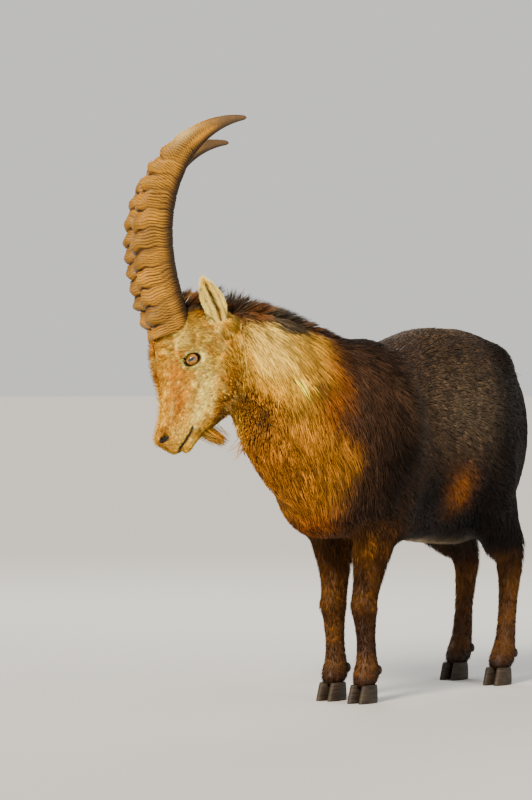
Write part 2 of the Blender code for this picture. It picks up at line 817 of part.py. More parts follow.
def crest_locks(draw, skin):
    """The bristly mane on the nape: blades that lean back and a little outwards, withers to poll."""
    made = []
    for i in range(CREST_ROWS):
        share = float(np.interp(i, (0, CREST_ROWS - 1), CREST_SPAN))
        tall = float(np.interp(share, CREST_SPAN, CREST_LEAN))
        for angle in CREST_ANGLES:
            root, out, back = neck_root(skin, share + draw.uniform(-0.01, 0.01), math.radians(angle))
            if not in_neck(root):
                continue
            _, _, across, over = neck_frame(share)
            outward = across * math.copysign(1, angle)
            aside = outward * (CREST_SPREAD * math.sin(math.radians(abs(angle))))
            made.append(lock(
                root, outward, back + over * tall + aside,
                length=CREST_LENGTH * draw.uniform(0.85, 1.1),
                width=CREST_WIDTH * draw.uniform(0.9, 1.15),
                depth=CREST_DEPTH,
                lift=CREST_LIFT,
                curl=CREST_CURL * draw.uniform(0.4, 1.0) * -math.copysign(1, angle),
            ))
    return made


def neck_locks(draw, skin):
    """The long coat of the neck's sides, throat and breast, each row lying over the one below."""
    made = []
    for i in range(COAT_ROWS):
        share = float(np.interp(i, (0, COAT_ROWS - 1), COAT_SPAN))
        for angle in COAT_ANGLES:
            stagger = 0 if angle == 180 else COAT_STAGGER * (1 if i % 2 else -1)
            for side in ((1,) if angle == 180 else (1, -1)):
                root, out, back = neck_root(skin, share, math.radians(side * (angle + stagger)))
                if not in_neck(root):
                    continue
                fall = float(np.interp(angle, (50, 180), COAT_FALL))
                lift = float(np.interp(angle, (100, 180), COAT_LIFT))
                made.append(lock(
                    root, out, back - UP * fall,
                    length=COAT_LENGTH * draw.uniform(0.9, 1.12),
                    width=COAT_WIDTH * draw.uniform(0.88, 1.08),
                    depth=COAT_DEPTH,
                    lift=lift * draw.uniform(0.9, 1.15),
                    curl=draw.uniform(-COAT_CURL, COAT_CURL),
                    skin=skin,
                ))
    return made


def beard_locks(draw):
    """A short beard under the chin: blades on both sides that run together at their tips."""
    made = []
    turned = HEAD.to_3x3()
    for along in BEARD_ROOTS:
        for side in (1, -1):
            root = HEAD @ Vector((along, side * BEARD_ROOT_OFF[0], BEARD_ROOT_OFF[1]))
            made.append(lock(
                root, turned @ Vector((0, side, 0)), turned @ Vector((0.25 - along, 0, -0.14)) - UP * 0.02,
                length=BEARD_LENGTH * draw.uniform(0.8, 1.1),
                width=BEARD_WIDTH, depth=BEARD_DEPTH, lift=BEARD_LIFT,
                curl=draw.uniform(-BEARD_CURL, BEARD_CURL),
            ))
    return made


def poll_locks(draw, skin):
    """The front end of the mane: blades on the back of the head that lean back over the cut to the neck."""
    made = []
    turned = HEAD.to_3x3()
    _, way, _, _ = neck_frame(1)
    for out_of_face, side in POLL_ROOTS:
        root = skin.hit(HEAD @ Vector((0.03, side, out_of_face)), turned @ Vector((-1, 0, 0)))[0]
        made.append(lock(
            root, turned @ Vector((0, math.copysign(1, side), 0)), UP * 0.95 - way,
            length=CREST_LENGTH * draw.uniform(0.8, 1.0),
            width=POLL_WIDTH, depth=POLL_DEPTH, lift=POLL_LIFT,
            curl=math.copysign(POLL_CURL, side),
        ))
    return made


def tail_locks(draw, skin):
    """The tuft at the end of the tail: blades that hang past one another."""
    made = []
    for drop, side in TAIL_TUFT:
        root = skin.hit(Vector((1, side, TAIL_ROOT.z - drop)), Vector((-1, 0, 0)))[0]
        made.append(lock(
            root - Vector((TUFT_SUNK, 0, 0)), Vector((1, 0, 0)), Vector((0.05, side * 2, -1)),
            length=TUFT_LENGTH * draw.uniform(0.85, 1.1),
            width=TUFT_WIDTH, depth=TUFT_DEPTH, lift=TUFT_LIFT,
            curl=draw.uniform(-TUFT_CURL, TUFT_CURL),
        ))
    return made


# Tail, feet

TAIL_ROWS = [
    # drop below the root, half width, half thickness
    (0.045, 0.026, 0.016),
    (0.080, 0.026, 0.014),
    (0.115, 0.018, 0.010),
    (0.145, 0.007, 0.005),
]


def tail(torso):
    """Hangs down along the rump, broad and flat, from a flat seat."""
    flat_seat(torso, TAIL_ROOT, TAIL_WAY, 0.030, 0.04)
    surface = surface_finder(torso)
    rows = []
    for along in (0.0, 0.018):
        place = TAIL_ROOT + TAIL_WAY * (GAP + along)
        rows.append((place.x, 0, place.z, 0.022, 0.015, 0.015))
    for drop, wide, thick in TAIL_ROWS:
        rump = surface((1, 0, TAIL_ROOT.z - drop), (-1, 0, 0))
        rows.append((max(rump.x, TAIL_ROOT.x) + TAIL_OFF, 0, rump.z, wide, thick, thick))
    return tube("tail", rows, side=Vector((0, 1, 0)), around=12, steps=2, first_way=TAIL_WAY)


def toe(name, foot, inward):
    """One half of a cloven hoof, flat on the floor and flat on top."""
    middle_line = foot[1] + inward * (TOE_WIDTH / 2 + 0.0009)
    levels = [
        # height, reach to the tip, reach to the heel, share of the width
        (0.000, 0.050, 0.028, 1.00),
        (0.010, 0.047, 0.030, 1.00),
        (0.028, 0.039, 0.030, 0.96),
        (CORONET - GAP, 0.031, 0.028, 0.92),
    ]
    rings = []
    for z, tip, heel, share in levels:
        ring = []
        for j in range(12):
            c, s = rounded(2 * math.pi * j / 12, 2.6)
            reach = heel if c > 0 else tip
            narrow = 1 - 0.35 * max(0, -c) ** 2
            ring.append((foot[0] - 0.004 + c * reach, middle_line + s * TOE_WIDTH / 2 * share * narrow, z))
        rings.append(ring)
    return skin_rings(name, rings)


def dewclaw(name, place, grow=0.0):
    """A small blunt horn behind the fetlock."""
    radii = [r + grow for r in DEWCLAW_SIZE]
    turn = Matrix.Rotation(math.radians(-25), 4, "Y")
    return lump(name, place, radii, turn, segments=10)


def finish_leg(leg, name):
    """Cuts the leg level above its hoof, adds both toes and both dewclaws."""
    foot = FEET[name][0]
    bpy.ops.mesh.primitive_cube_add(size=1)
    below = bpy.context.object
    below.data.transform(
        Matrix.Translation((foot[0], foot[1], CORONET - 0.1)) @ Matrix.Diagonal((0.3, 0.3, 0.2, 1)))
    boolean(leg, below, "DIFFERENCE")
    surface = surface_finder(leg)
    for word, inward in (("a", -1), ("b", 1)):
        toe(f"{name}_toe_{word}", foot, inward)
        start = (foot[0] + 0.3, foot[1] + inward * DEWCLAW_SPREAD, DEWCLAW_HEIGHT)
        place = surface(start, (-1, 0, 0)) + Vector((0.001, 0, 0))
        boolean(leg, dewclaw("pocket", place, GAP), "DIFFERENCE")
        dewclaw(f"{name}_dewclaw_{word}", place)
    return keep_largest(leg)


# Materials: base colour, roughness

COLOURS = {
    "coat_dark": ((0.075, 0.045, 0.030), 0.85),
    "coat_golden": ((0.420, 0.250, 0.110), 0.85),
    "coat_straw": ((0.560, 0.380, 0.190), 0.85),
    "leg_hair": ((0.110, 0.055, 0.030), 0.85),
    "horn": ((0.290, 0.180, 0.085), 0.50),
    "hoof": ((0.030, 0.025, 0.022), 0.45),
    "eye": ((0.450, 0.240, 0.050), 0.10),
}

SLOTS = {
    "torso": "coat_dark", "tail": "coat_dark", "neck": "coat_golden", "head": "coat_straw",
    "ear": "coat_straw", "eye": "eye", "horn": "horn", "foreleg": "leg_hair", "hindleg": "leg_hair",
}


def material(slot):
    if slot in bpy.data.materials:
        return bpy.data.materials[slot]
    colour, roughness = COLOURS[slot]
    made = bpy.data.materials.new(slot)
    made.use_nodes = True
    shader = made.node_tree.nodes["Principled BSDF"]
    shader.inputs["Base Color"].default_value = (*colour, 1)
    shader.inputs["Roughness"].default_value = roughness
    shader.inputs["Metallic"].default_value = 0.0
    return made


def slot_of(name):
    if "toe" in name or "dewclaw" in name:
        return "hoof"
    return SLOTS[name.split("_")[0]]


# Putting the animal together

flesh = fused_body()
skin = surface_finder(flesh)
named = parted_body(flesh)
draw = random.Random(11)
neck = named["neck"]
boolean(neck, crest_locks(draw, skin) + neck_locks(draw, skin), "UNION")
keep_largest(neck)
finish_head(named["head"], beard_locks(draw) + poll_locks(draw, skin))
hanging = tail(named["torso"])
boolean(hanging, tail_locks(draw, surface_finder(hanging)), "UNION")
keep_largest(hanging)
for name in FEET:
    finish_leg(named[name], name)
for side, word in ((1, "left"), (-1, "right")):
    horn("horn_" + word, side)
    ear("ear_" + word, side)
    ball("eye_" + word, HEAD @ eye_frame(side)[0], EYE_RADIUS)

for obj in bpy.data.objects:
    obj.data.transform(Matrix.Translation(ORIGIN_SHIFT))
    obj.data.materials.clear()
    obj.data.materials.append(material(slot_of(obj.name)))
    obj.data.shade_smooth()
    obj.data.set_sharp_from_angle(angle=math.radians(50))
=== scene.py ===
# A standing male alpine ibex, life size, in its autumn coat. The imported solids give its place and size.
import math

import bmesh
import bpy
import numpy as np
from mathutils import Matrix, Vector
from mathutils.bvhtree import BVHTree
from mathutils.kdtree import KDTree


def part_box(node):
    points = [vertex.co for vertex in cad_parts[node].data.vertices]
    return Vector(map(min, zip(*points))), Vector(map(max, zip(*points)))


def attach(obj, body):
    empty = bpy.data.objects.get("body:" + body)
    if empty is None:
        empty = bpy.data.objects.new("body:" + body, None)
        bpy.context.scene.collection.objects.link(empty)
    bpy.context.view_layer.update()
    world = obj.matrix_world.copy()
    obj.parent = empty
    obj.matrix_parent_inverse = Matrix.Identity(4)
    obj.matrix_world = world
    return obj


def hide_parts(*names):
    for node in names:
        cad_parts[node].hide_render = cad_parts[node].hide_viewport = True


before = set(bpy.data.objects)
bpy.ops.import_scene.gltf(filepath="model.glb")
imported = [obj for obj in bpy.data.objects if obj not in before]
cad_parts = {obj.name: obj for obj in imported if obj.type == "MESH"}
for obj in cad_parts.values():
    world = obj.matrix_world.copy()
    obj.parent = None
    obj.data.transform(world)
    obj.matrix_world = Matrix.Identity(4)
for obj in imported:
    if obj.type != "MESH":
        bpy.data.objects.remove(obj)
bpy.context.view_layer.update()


# The hide
# One skin over the whole animal, from the muzzle to the coronets and the tip of the tail, with the
# ears grown on. Trunk, neck and legs are overlapping ovals of flesh, fused and smoothed as a
# taxidermist's form is, and the head is fused more finely, with its lids, nostrils and mouth cut in.

LEFT = Vector((0, -1, 0))
UP = Vector((0, 0, 1))
POLL = Vector((-0.638, 0.204, 0.9375))
HEAD_TURN = math.radians(52)
HEAD_PITCH = math.radians(68)
HEAD_TILT = math.radians(9)
EYE_PLACE = Vector((0.102, 0.055, 0.0275))
EYE_OUT = Vector((0.16, 0.97, 0.14))
EYE_ALONG = Vector((-0.73, 0.05, -0.68))
EYE_OPENING = (0.0198, 0.0132)
LID_THICKNESS = 0.0045


def head_matrix():
    """Head space: x runs from poll to muzzle, y to the animal's left, z out of the face."""
    heading = Vector((-math.cos(HEAD_TURN), math.sin(HEAD_TURN), 0))
    level_left = UP.cross(heading)
    left = level_left * math.cos(HEAD_TILT) + UP * math.sin(HEAD_TILT)
    crown = UP * math.cos(HEAD_TILT) - level_left * math.sin(HEAD_TILT)
    forward = heading * math.cos(HEAD_PITCH) - crown * math.sin(HEAD_PITCH)
    dorsal = heading * math.sin(HEAD_PITCH) + crown * math.cos(HEAD_PITCH)
    turned = Matrix((forward, left, dorsal)).transposed().to_4x4()
    return Matrix.Translation(POLL) @ turned


HEAD = head_matrix()
eye_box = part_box("eye_left")
EYE_RADIUS = (eye_box[1].x - eye_box[0].x) / 2
SHIFT = (eye_box[0] + eye_box[1]) / 2 - HEAD @ EYE_PLACE

NAPE_CUT = Vector((0.060, 0, -0.0923))
NAPE_WAY = Vector((0.377, 0, 0.926))
SHOULDER_CUT = Vector((-0.385, 0, 0.68))
SHOULDER_WAY = Vector((-0.90, 0, 0.43)).normalized()


def deselect():
    bpy.ops.object.select_all(action="DESELECT")


def only(obj):
    deselect()
    obj.select_set(True)
    bpy.context.view_layer.objects.active = obj


def linked(name, data):
    """A new object in the scene over a mesh, a lamp or a camera."""
    obj = bpy.data.objects.new(name, data)
    bpy.context.scene.collection.objects.link(obj)
    return obj


def turned_outwards(mesh):
    """Turns the normals of a closed mesh outwards."""
    bm = bmesh.new()
    bm.from_mesh(mesh)
    bmesh.ops.recalc_face_normals(bm, faces=bm.faces)
    bm.to_mesh(mesh)
    bm.free()


def made_mesh(name, points, faces):
    """An object over points, with faces as lists of any length, its normals turned outwards."""
    mesh = bpy.data.meshes.new(name)
    mesh.from_pydata([tuple(p) for p in points], [], faces)
    turned_outwards(mesh)
    return linked(name, mesh)


def through(rows, steps):
    """Rows of sizes on a smooth curve through the given ones, with this many steps between two."""
    rows = np.array(rows, float)
    padded = np.vstack([2 * rows[0] - rows[1], rows, 2 * rows[-1] - rows[-2]])
    made = []
    for before, a, b, after in zip(padded, padded[1:], padded[2:], padded[3:]):
        for k in range(steps):
            t = k / steps
            made.append(
                a
                + 0.5 * (b - before) * t
                + (before - 2.5 * a + 2 * b - 0.5 * after) * t**2
                + (1.5 * a - 0.5 * before - 1.5 * b + 0.5 * after) * t**3
            )
    made.append(rows[-1])
    return np.array(made)


def skin_rings(name, rings):
    """A closed object over rings of points, each ring with the same count, capped at both ends."""
    around = len(rings[0])
    points = [p for ring in rings for p in ring]
    faces = [list(range(around)), list(range(len(points) - around, len(points)))]
    for i in range(len(rings) - 1):
        a, b = i * around, (i + 1) * around
        for j in range(around):
            k = (j + 1) % around
            faces.append([a + j, a + k, b + k, b + j])
    return made_mesh(name, points, faces)


def rounded(angle, power):
    """Cosine and sine, squared off when power is over 2."""
    c, s = math.cos(angle), math.sin(angle)
    return (
        math.copysign(abs(c) ** (2 / power), c),
        math.copysign(abs(s) ** (2 / power), s),
    )


def tube(name, rows, side=LEFT, around=28, steps=5, power=2.0, first_way=None):
    """A body of oval sections. A row is x, y, z, half width, reach to front or top, reach back or down."""
    rows = through(rows, steps)
    ways = np.gradient(rows[:, :3], axis=0)
    if first_way:
        ways[0] = first_way
    rings = []
    for row, way in zip(rows, ways):
        centre = Vector(row[:3])
        way = Vector(way).normalized()
        across = (side - way * side.dot(way)).normalized()
        over = way.cross(across)
        ring = []
        for j in range(around):
            c, s = rounded(2 * math.pi * j / around, power)
            reach = row[4] if s > 0 else row[5]
            ring.append(centre + across * (row[3] * c) + over * (reach * s))
        rings.append(ring)
    return skin_rings(name, rings)


def lump(name, centre, radii, turn=None):
    """An ellipsoid of flesh."""
    deselect()
    bpy.ops.mesh.primitive_uv_sphere_add(segments=24, ring_count=14, radius=1)
    obj = bpy.context.object
    obj.name = name
    place = Matrix.Translation(centre) @ (turn or Matrix.Identity(4)) @ Matrix.Diagonal((*radii, 1))
    obj.data.transform(place)
    return obj


def ball(name, centre, radius):
    return lump(name, centre, (radius, radius, radius))


def paired_lumps(table, sides):
    """Lumps on both sides of the middle, from a table of names, places and radii."""
    return [
        lump(name, mirrored(place, side), radii)
        for side in sides
        for name, (place, radii) in table.items()
    ]


def into_head(obj):
    obj.data.transform(HEAD)
    return obj


def mirrored(point, sign):
    return Vector((point[0], sign * point[1], point[2]))


def applied(obj, kind, **settings):
    """Adds a modifier, sets it and applies it."""
    modifier = obj.modifiers.new(kind.lower(), kind)
    for name, value in settings.items():
        setattr(modifier, name, value)
    only(obj)
    bpy.ops.object.modifier_apply(modifier=modifier.name)
    return obj


def fused(name, pieces, voxel):
    """One closed surface over overlapping pieces."""
    only(pieces[0])
    for piece in pieces:
        piece.select_set(True)
    bpy.ops.object.join()
    pieces[0].name = name
    return applied(pieces[0], "REMESH", mode="VOXEL", voxel_size=voxel)


def combined(obj, others, operation):
    """Adds other closed objects to this one, or cuts them out of it, and removes them."""
    for other in others:
        applied(obj, "BOOLEAN", object=other, operation=operation, solver="MANIFOLD")
        bpy.data.objects.remove(other, do_unlink=True)
    return obj


def vectors(items, word):
    """One vector of each item of a mesh, as the rows of an array."""
    found = np.empty(len(items) * 3)
    items.foreach_get(word, found)
    return found.reshape(-1, 3)


def corners_of(obj):
    return vectors(obj.data.vertices, "co")


def vertex_normals(obj):
    return vectors(obj.data.vertex_normals, "vector")


def moved_to(obj, points):
    obj.data.vertices.foreach_set("co", points.astype(np.float32).ravel())
    obj.data.update()


def smoothed(obj, weights, rounds):
    """Smooths the surface where the weights say so."""
    group = obj.vertex_groups.new(name="soft")
    for index in np.nonzero(weights > 0.01)[0]:
        group.add([int(index)], float(weights[index]), "REPLACE")
    applied(obj, "SMOOTH", factor=0.5, iterations=rounds, vertex_group="soft")
    obj.vertex_groups.clear()
    return obj


def ramp(value, low, high):
    """0 up to low, 1 from high on, smooth between."""
    t = np.clip((value - low) / (high - low), 0, 1)
    return t * t * (3 - 2 * t)


def to_head(points):
    """Places in the animal's space, in head space."""
    back = np.array(HEAD.inverted())
    return points @ back[:3, :3].T + back[:3, 3]


def beyond_nape(points):
    return (to_head(points) - np.array(NAPE_CUT)) @ np.array(NAPE_WAY)


TRUNK = [
    # x, y, z, half width, up, down
    (0.472, 0, 0.760, 0.045, 0.050, 0.080),
    (0.444, 0, 0.748, 0.092, 0.106, 0.150),
    (0.388, 0, 0.725, 0.138, 0.178, 0.225),
    (0.300, 0, 0.700, 0.168, 0.240, 0.290),
    (0.190, 0, 0.670, 0.186, 0.272, 0.300),
    (0.070, 0, 0.650, 0.190, 0.284, 0.270),
    (-0.050, 0, 0.640, 0.184, 0.272, 0.244),
    (-0.160, 0, 0.630, 0.174, 0.268, 0.234),
    (-0.260, 0, 0.620, 0.168, 0.286, 0.230),
    (-0.350, 0, 0.605, 0.158, 0.280, 0.215),
    (-0.430, 0, 0.565, 0.142, 0.195, 0.170),
    (-0.485, 0, 0.535, 0.115, 0.140, 0.125),
    (-0.515, 0, 0.530, 0.060, 0.070, 0.070),
]

NECK = [
    (-0.160, 0.000, 0.660, 0.120, 0.190, 0.190),
    (-0.270, 0.000, 0.690, 0.140, 0.195, 0.250),
    (-0.370, 0.015, 0.730, 0.138, 0.178, 0.285),
    (-0.465, 0.055, 0.785, 0.120, 0.155, 0.262),
    (-0.545, 0.108, 0.845, 0.098, 0.132, 0.192),
    (-0.605, 0.155, 0.885, 0.082, 0.110, 0.138),
    (-0.640, 0.190, 0.905, 0.068, 0.088, 0.106),
]

FORELEG = [
    # x and y from the hoof's middle, then z, half width, front, back
    (0.020, 0.045, 0.620, 0.050, 0.100, 0.110),
    (0.015, 0.040, 0.520, 0.062, 0.095, 0.095),
    (0.022, 0.022, 0.440, 0.057, 0.082, 0.074),
    (0.020, 0.010, 0.380, 0.047, 0.060, 0.054),
    (0.014, 0.004, 0.320, 0.038, 0.043, 0.041),
    (0.006, 0.000, 0.270, 0.034, 0.040, 0.032),
    (0.002, 0.000, 0.240, 0.036, 0.046, 0.032),
    (0.004, 0.000, 0.205, 0.030, 0.032, 0.030),
    (0.008, 0.000, 0.150, 0.0265, 0.0265, 0.0285),
    (0.010, 0.000, 0.105, 0.029, 0.028, 0.034),
    (0.008, 0.000, 0.078, 0.034, 0.034, 0.046),
    (0.000, 0.000, 0.055, 0.031, 0.038, 0.036),
    (-0.002, 0.000, 0.034, 0.024, 0.027, 0.024),
]

HINDLEG = [
    (-0.020, 0.006, 0.760, 0.056, 0.150, 0.080),
    (-0.078, 0.010, 0.660, 0.072, 0.170, 0.082),
    (-0.106, 0.020, 0.580, 0.075, 0.160, 0.084),
    (-0.104, 0.026, 0.510, 0.066, 0.130, 0.090),
    (-0.050, 0.022, 0.450, 0.052, 0.105, 0.074),
    (0.010, 0.010, 0.395, 0.042, 0.085, 0.052),
    (0.048, 0.004, 0.350, 0.036, 0.055, 0.048),
    (0.060, 0.000, 0.310, 0.034, 0.044, 0.042),
    (0.058, 0.000, 0.270, 0.030, 0.034, 0.032),
    (0.046, 0.000, 0.190, 0.0265, 0.028, 0.029),
    (0.034, 0.000, 0.115, 0.029, 0.030, 0.034),
    (0.022, 0.000, 0.080, 0.033, 0.034, 0.044),
    (0.004, 0.000, 0.055, 0.031, 0.038, 0.036),
    (0.000, 0.000, 0.034, 0.024, 0.027, 0.024),
]

FEET = {
    # where each hoof stands, and which side it is on: -1 left, 1 right
    "foreleg_left": ((-0.330, -0.050), -1, FORELEG),
    "foreleg_right": ((-0.300, 0.056), 1, FORELEG),
    "hindleg_left": ((0.310, -0.100), -1, HINDLEG),
    "hindleg_right": ((0.400, 0.075), 1, HINDLEG),
}

TAIL_ROOT = Vector((0.503, 0.0, 0.812))
TAIL_WAY = Vector((0.95, 0.0, -0.312)).normalized()
BODY_VOXEL = 0.0080
HEAD_VOXEL = 0.0025


BODY_LUMPS = {
    # place and radii of the right one
    "shoulder": ((-0.265, 0.105, 0.640), (0.110, 0.075, 0.190)),
    "upper_arm": ((-0.290, 0.092, 0.500), (0.110, 0.062, 0.100)),
    "hip": ((0.270, 0.085, 0.800), (0.100, 0.070, 0.100)),
    "breast": ((-0.440, 0.048, 0.532), (0.064, 0.068, 0.108)),
}


def body_clay():
    clay = [
        tube("trunk", TRUNK, around=32, power=2.2),
        tube("neck_core", NECK),
    ]
    for name, (foot, side, rows) in FEET.items():
        placed = [(foot[0] + x, foot[1] + side * y, z, w, f, b) for x, y, z, w, f, b in rows]
        clay.append(tube(name + "_core", placed, around=20))
    clay += paired_lumps(BODY_LUMPS, (-1, 1))
    clay.append(lump("tail_root", TAIL_ROOT - TAIL_WAY * 0.034, (0.048, 0.034, 0.034)))
    return clay


SKULL = [
    # in head space: x, y, z, half width, out of the face, towards the jaw
    (-0.040, 0, -0.030, 0.055, 0.070, 0.075),
    (0.000, 0, -0.022, 0.068, 0.105, 0.108),
    (0.040, 0, -0.010, 0.072, 0.128, 0.125),
    (0.080, 0, 0.000, 0.067, 0.136, 0.132),
    (0.118, 0, -0.002, 0.062, 0.120, 0.130),
    (0.155, 0, -0.008, 0.055, 0.102, 0.114),
    (0.190, 0, -0.012, 0.049, 0.086, 0.094),
    (0.225, 0, -0.012, 0.042, 0.072, 0.072),
    (0.258, 0, -0.008, 0.038, 0.058, 0.048),
    (0.286, 0, -0.004, 0.037, 0.046, 0.034),
    (0.308, 0, -0.004, 0.034, 0.038, 0.030),
    (0.322, 0, -0.006, 0.026, 0.024, 0.024),
    (0.328, 0, -0.006, 0.014, 0.012, 0.012),
]

CHIN = [
    (0.200, 0, -0.070, 0.024, 0.020, 0.022),
    (0.240, 0, -0.055, 0.024, 0.020, 0.018),
    (0.275, 0, -0.044, 0.024, 0.018, 0.016),
    (0.302, 0, -0.038, 0.022, 0.016, 0.015),
    (0.314, 0, -0.036, 0.012, 0.009, 0.009),
]

HEAD_LUMPS = {
    # place and radii of the left one, in head space
    "brow": ((0.074, 0.054, 0.058), (0.040, 0.020, 0.022)),
    "forehead": ((0.092, 0.028, 0.094), (0.040, 0.030, 0.032)),
    "cheekbone": ((0.140, 0.053, 0.000), (0.046, 0.012, 0.011)),
    "crest": ((0.190, 0.045, -0.006), (0.042, 0.010, 0.009)),
    "cheek": ((0.110, 0.042, -0.070), (0.055, 0.028, 0.044)),
    "lip": ((0.286, 0.024, -0.004), (0.032, 0.017, 0.026)),
    "nostril_wing": ((0.300, 0.024, 0.024), (0.022, 0.014, 0.017)),
    "ear_base": ((0.002, 0.064, -0.018), (0.030, 0.026, 0.028)),
}


def eye_frame(side):
    """The eye's place, the way it looks, the way from its front corner to its rear one, and up."""
    out = mirrored(EYE_OUT, side).normalized()
    along = mirrored(EYE_ALONG, side)
    along = (along - out * along.dot(out)).normalized()
    return mirrored(EYE_PLACE, side), out, along, out.cross(along)


def head_clay():
    """Skull, chin and the lumps of muscle, lip and brow."""
    head_left = Vector((0, 1, 0))
    clay = [
        into_head(tube("skull", SKULL, side=head_left, power=2.3)),
        into_head(tube("chin", CHIN, side=head_left, around=18)),
    ]
    return clay + [into_head(piece) for piece in paired_lumps(HEAD_LUMPS, (1, -1))]


def path_tube(name, path, radius, ends=0.3):
    """A round tube of flesh or of air along a path in head space, thinner at both ends."""
    line = through(path, 4)
    ways = np.gradient(line, axis=0)
    rings = []
    for i, (place, way) in enumerate(zip(line, ways)):
        way = Vector(way).normalized()
        size = radius * max(ends, math.sin(math.pi * i / (len(line) - 1)) ** 0.4)
        across = way.orthogonal().normalized()
        over = across.cross(way)
        turns = [2 * math.pi * j / 8 for j in range(8)]
        rings.append([Vector(place) + (across * math.cos(a) + over * math.sin(a)) * size for a in turns])
    return into_head(skin_rings(name, rings))


def eye_arc(side, share, start, end, lift):
    """Points round the eye, at a share of the opening's size, from angle to angle, in head space."""
    centre, out, along, across = eye_frame(side)
    points = []
    for degrees in np.linspace(start, end, 6):
        angle = math.radians(degrees)
        flat = along * (math.cos(angle) * EYE_OPENING[0]) + across * (math.sin(angle) * EYE_OPENING[1])
        flat = flat * share
        rise = math.sqrt(max(0.0, EYE_RADIUS**2 - min(flat.length, EYE_RADIUS) ** 2))
        points.append(centre + flat + out * (rise + lift))
    return points


ALMOND = 1.75


def eye_opening(side):
    """An almond-shaped plug that opens the lids over the eyeball."""
    centre, out, along, across = eye_frame(side)
    rings = []
    for depth in (0.0, 0.05):
        ring = []
        for j in range(32):
            c, s = rounded(2 * math.pi * j / 32, ALMOND)
            ring.append(centre + out * depth + along * (c * EYE_OPENING[0]) + across * (s * EYE_OPENING[1]))
        rings.append(ring)
    return into_head(skin_rings("eye_opening", rings))


def finder(obj):
    """A function that gives the object's surface along a ray, both in head space."""
    back = HEAD.inverted()
    tree = BVHTree.FromPolygons(
        [back @ v.co for v in obj.data.vertices], [list(f.vertices) for f in obj.data.polygons])
    return lambda start, way: tree.ray_cast(Vector(start), Vector(way).normalized())[0]


LID_FOLDS = [
    # share of the opening, angles of its two ends, lift off the ball, radius
    (1.34, 15, 165, 0.0042, 0.0030),
    (1.36, -20, -150, 0.0026, 0.0022),
]
SOCKET_GAP = 0.0004
NOSTRIL = (0.302, 0.021)
NOSTRIL_RADII = (0.0130, 0.012, 0.0074)
NOSTRIL_TURN = math.radians(35)
NOSTRIL_SLIT = [(-0.006, -0.001, 0.004), (-0.013, -0.001, 0.003), (-0.018, 0.0005, -0.002)]
SLIT_RADIUS = 0.0028
TEAR_RADIUS = 0.0022
MOUTH_LINE = [(0.250, -0.034), (0.272, -0.034), (0.296, -0.029), (0.312, -0.024)]
MOUTH_FRONT = -0.022
MOUTH_GROOVE = 0.0028
PHILTRUM = (-0.018, -0.008, 0.004)
PHILTRUM_RADIUS = 0.0018


def carved_head(head):
    """Lids over the eyeballs, the sockets, nostrils, mouth and the folds round them."""
    surface = finder(head)

    def from_side(side, x, z):
        return surface((x, side * 0.2, z), (0, -side, 0))

    def from_front(z):
        return surface((0.45, 0, z), (-1, 0, 0))

    added, cut, mouth = [], [], []
    for side in (1, -1):
        centre, out, along, across = eye_frame(side)
        added.append(ball("lids", HEAD @ centre, EYE_RADIUS + LID_THICKNESS))
        # The upper lid's side of the eye is where the frame's up way points to the brow
        brow = 1 if across.z - across.x > 0 else -1
        for share, first, last, lift, radius in LID_FOLDS:
            arc = eye_arc(side, share, first * brow, last * brow, lift)
            added.append(path_tube("lid_fold", arc, radius))
        cut.append(eye_opening(side))
        cut.append(ball("socket", HEAD @ centre, EYE_RADIUS + SOCKET_GAP))
        nostril = from_side(side, *NOSTRIL)
        turn = Matrix.Rotation(-NOSTRIL_TURN, 4, "Y")
        cut.append(into_head(lump("nostril", nostril, NOSTRIL_RADII, turn)))
        slit = [nostril + Vector((x, side * y, z)) for x, y, z in NOSTRIL_SLIT]
        cut.append(path_tube("nostril_slit", slit, SLIT_RADIUS))
        corner = centre - along * 0.021 + out * 0.008
        inner = centre - along * 0.026 + out * 0.0065
        front = from_side(side, inner.x + 0.012, inner.z + 0.004)
        cut.append(path_tube("tear_groove", [corner, (inner + front) / 2, front], TEAR_RADIUS))
        half = [from_side(side, *place) for place in MOUTH_LINE]
        mouth += half if side > 0 else [from_front(MOUTH_FRONT)] + half[::-1]
    cut.append(path_tube("mouth_groove", mouth, MOUTH_GROOVE, ends=0.5))
    cut.append(path_tube("philtrum", [from_front(z) for z in PHILTRUM], PHILTRUM_RADIUS))
    combined(head, added, "UNION")
    combined(head, cut, "DIFFERENCE")
    return applied(head, "REMESH", mode="VOXEL", voxel_size=HEAD_VOXEL)


def parted(obj, offset, keep_front):
    """Cuts the object across the nape plane and closes it, keeping one side."""
    only(obj)
    bpy.ops.object.mode_set(mode="EDIT")
    bpy.ops.mesh.select_all(action="SELECT")
    way = (HEAD.to_3x3() @ NAPE_WAY).normalized()
    bpy.ops.mesh.bisect(
        plane_co=HEAD @ NAPE_CUT + way * offset, plane_no=way,
        use_fill=True, clear_inner=keep_front, clear_outer=not keep_front)
    bpy.ops.object.mode_set(mode="OBJECT")
    return obj


NAPE_OVERLAP = 0.012
RIM_SUNK = 0.004


def sunk_rim(head):
    """Draws the head's hidden end in, so that it joins the neck a hair's breadth under its skin."""
    points = corners_of(head)
    behind = ramp(-beyond_nape(points), -0.006, NAPE_OVERLAP)
    moved_to(head, points - vertex_normals(head) * (behind * RIM_SUNK)[:, None])


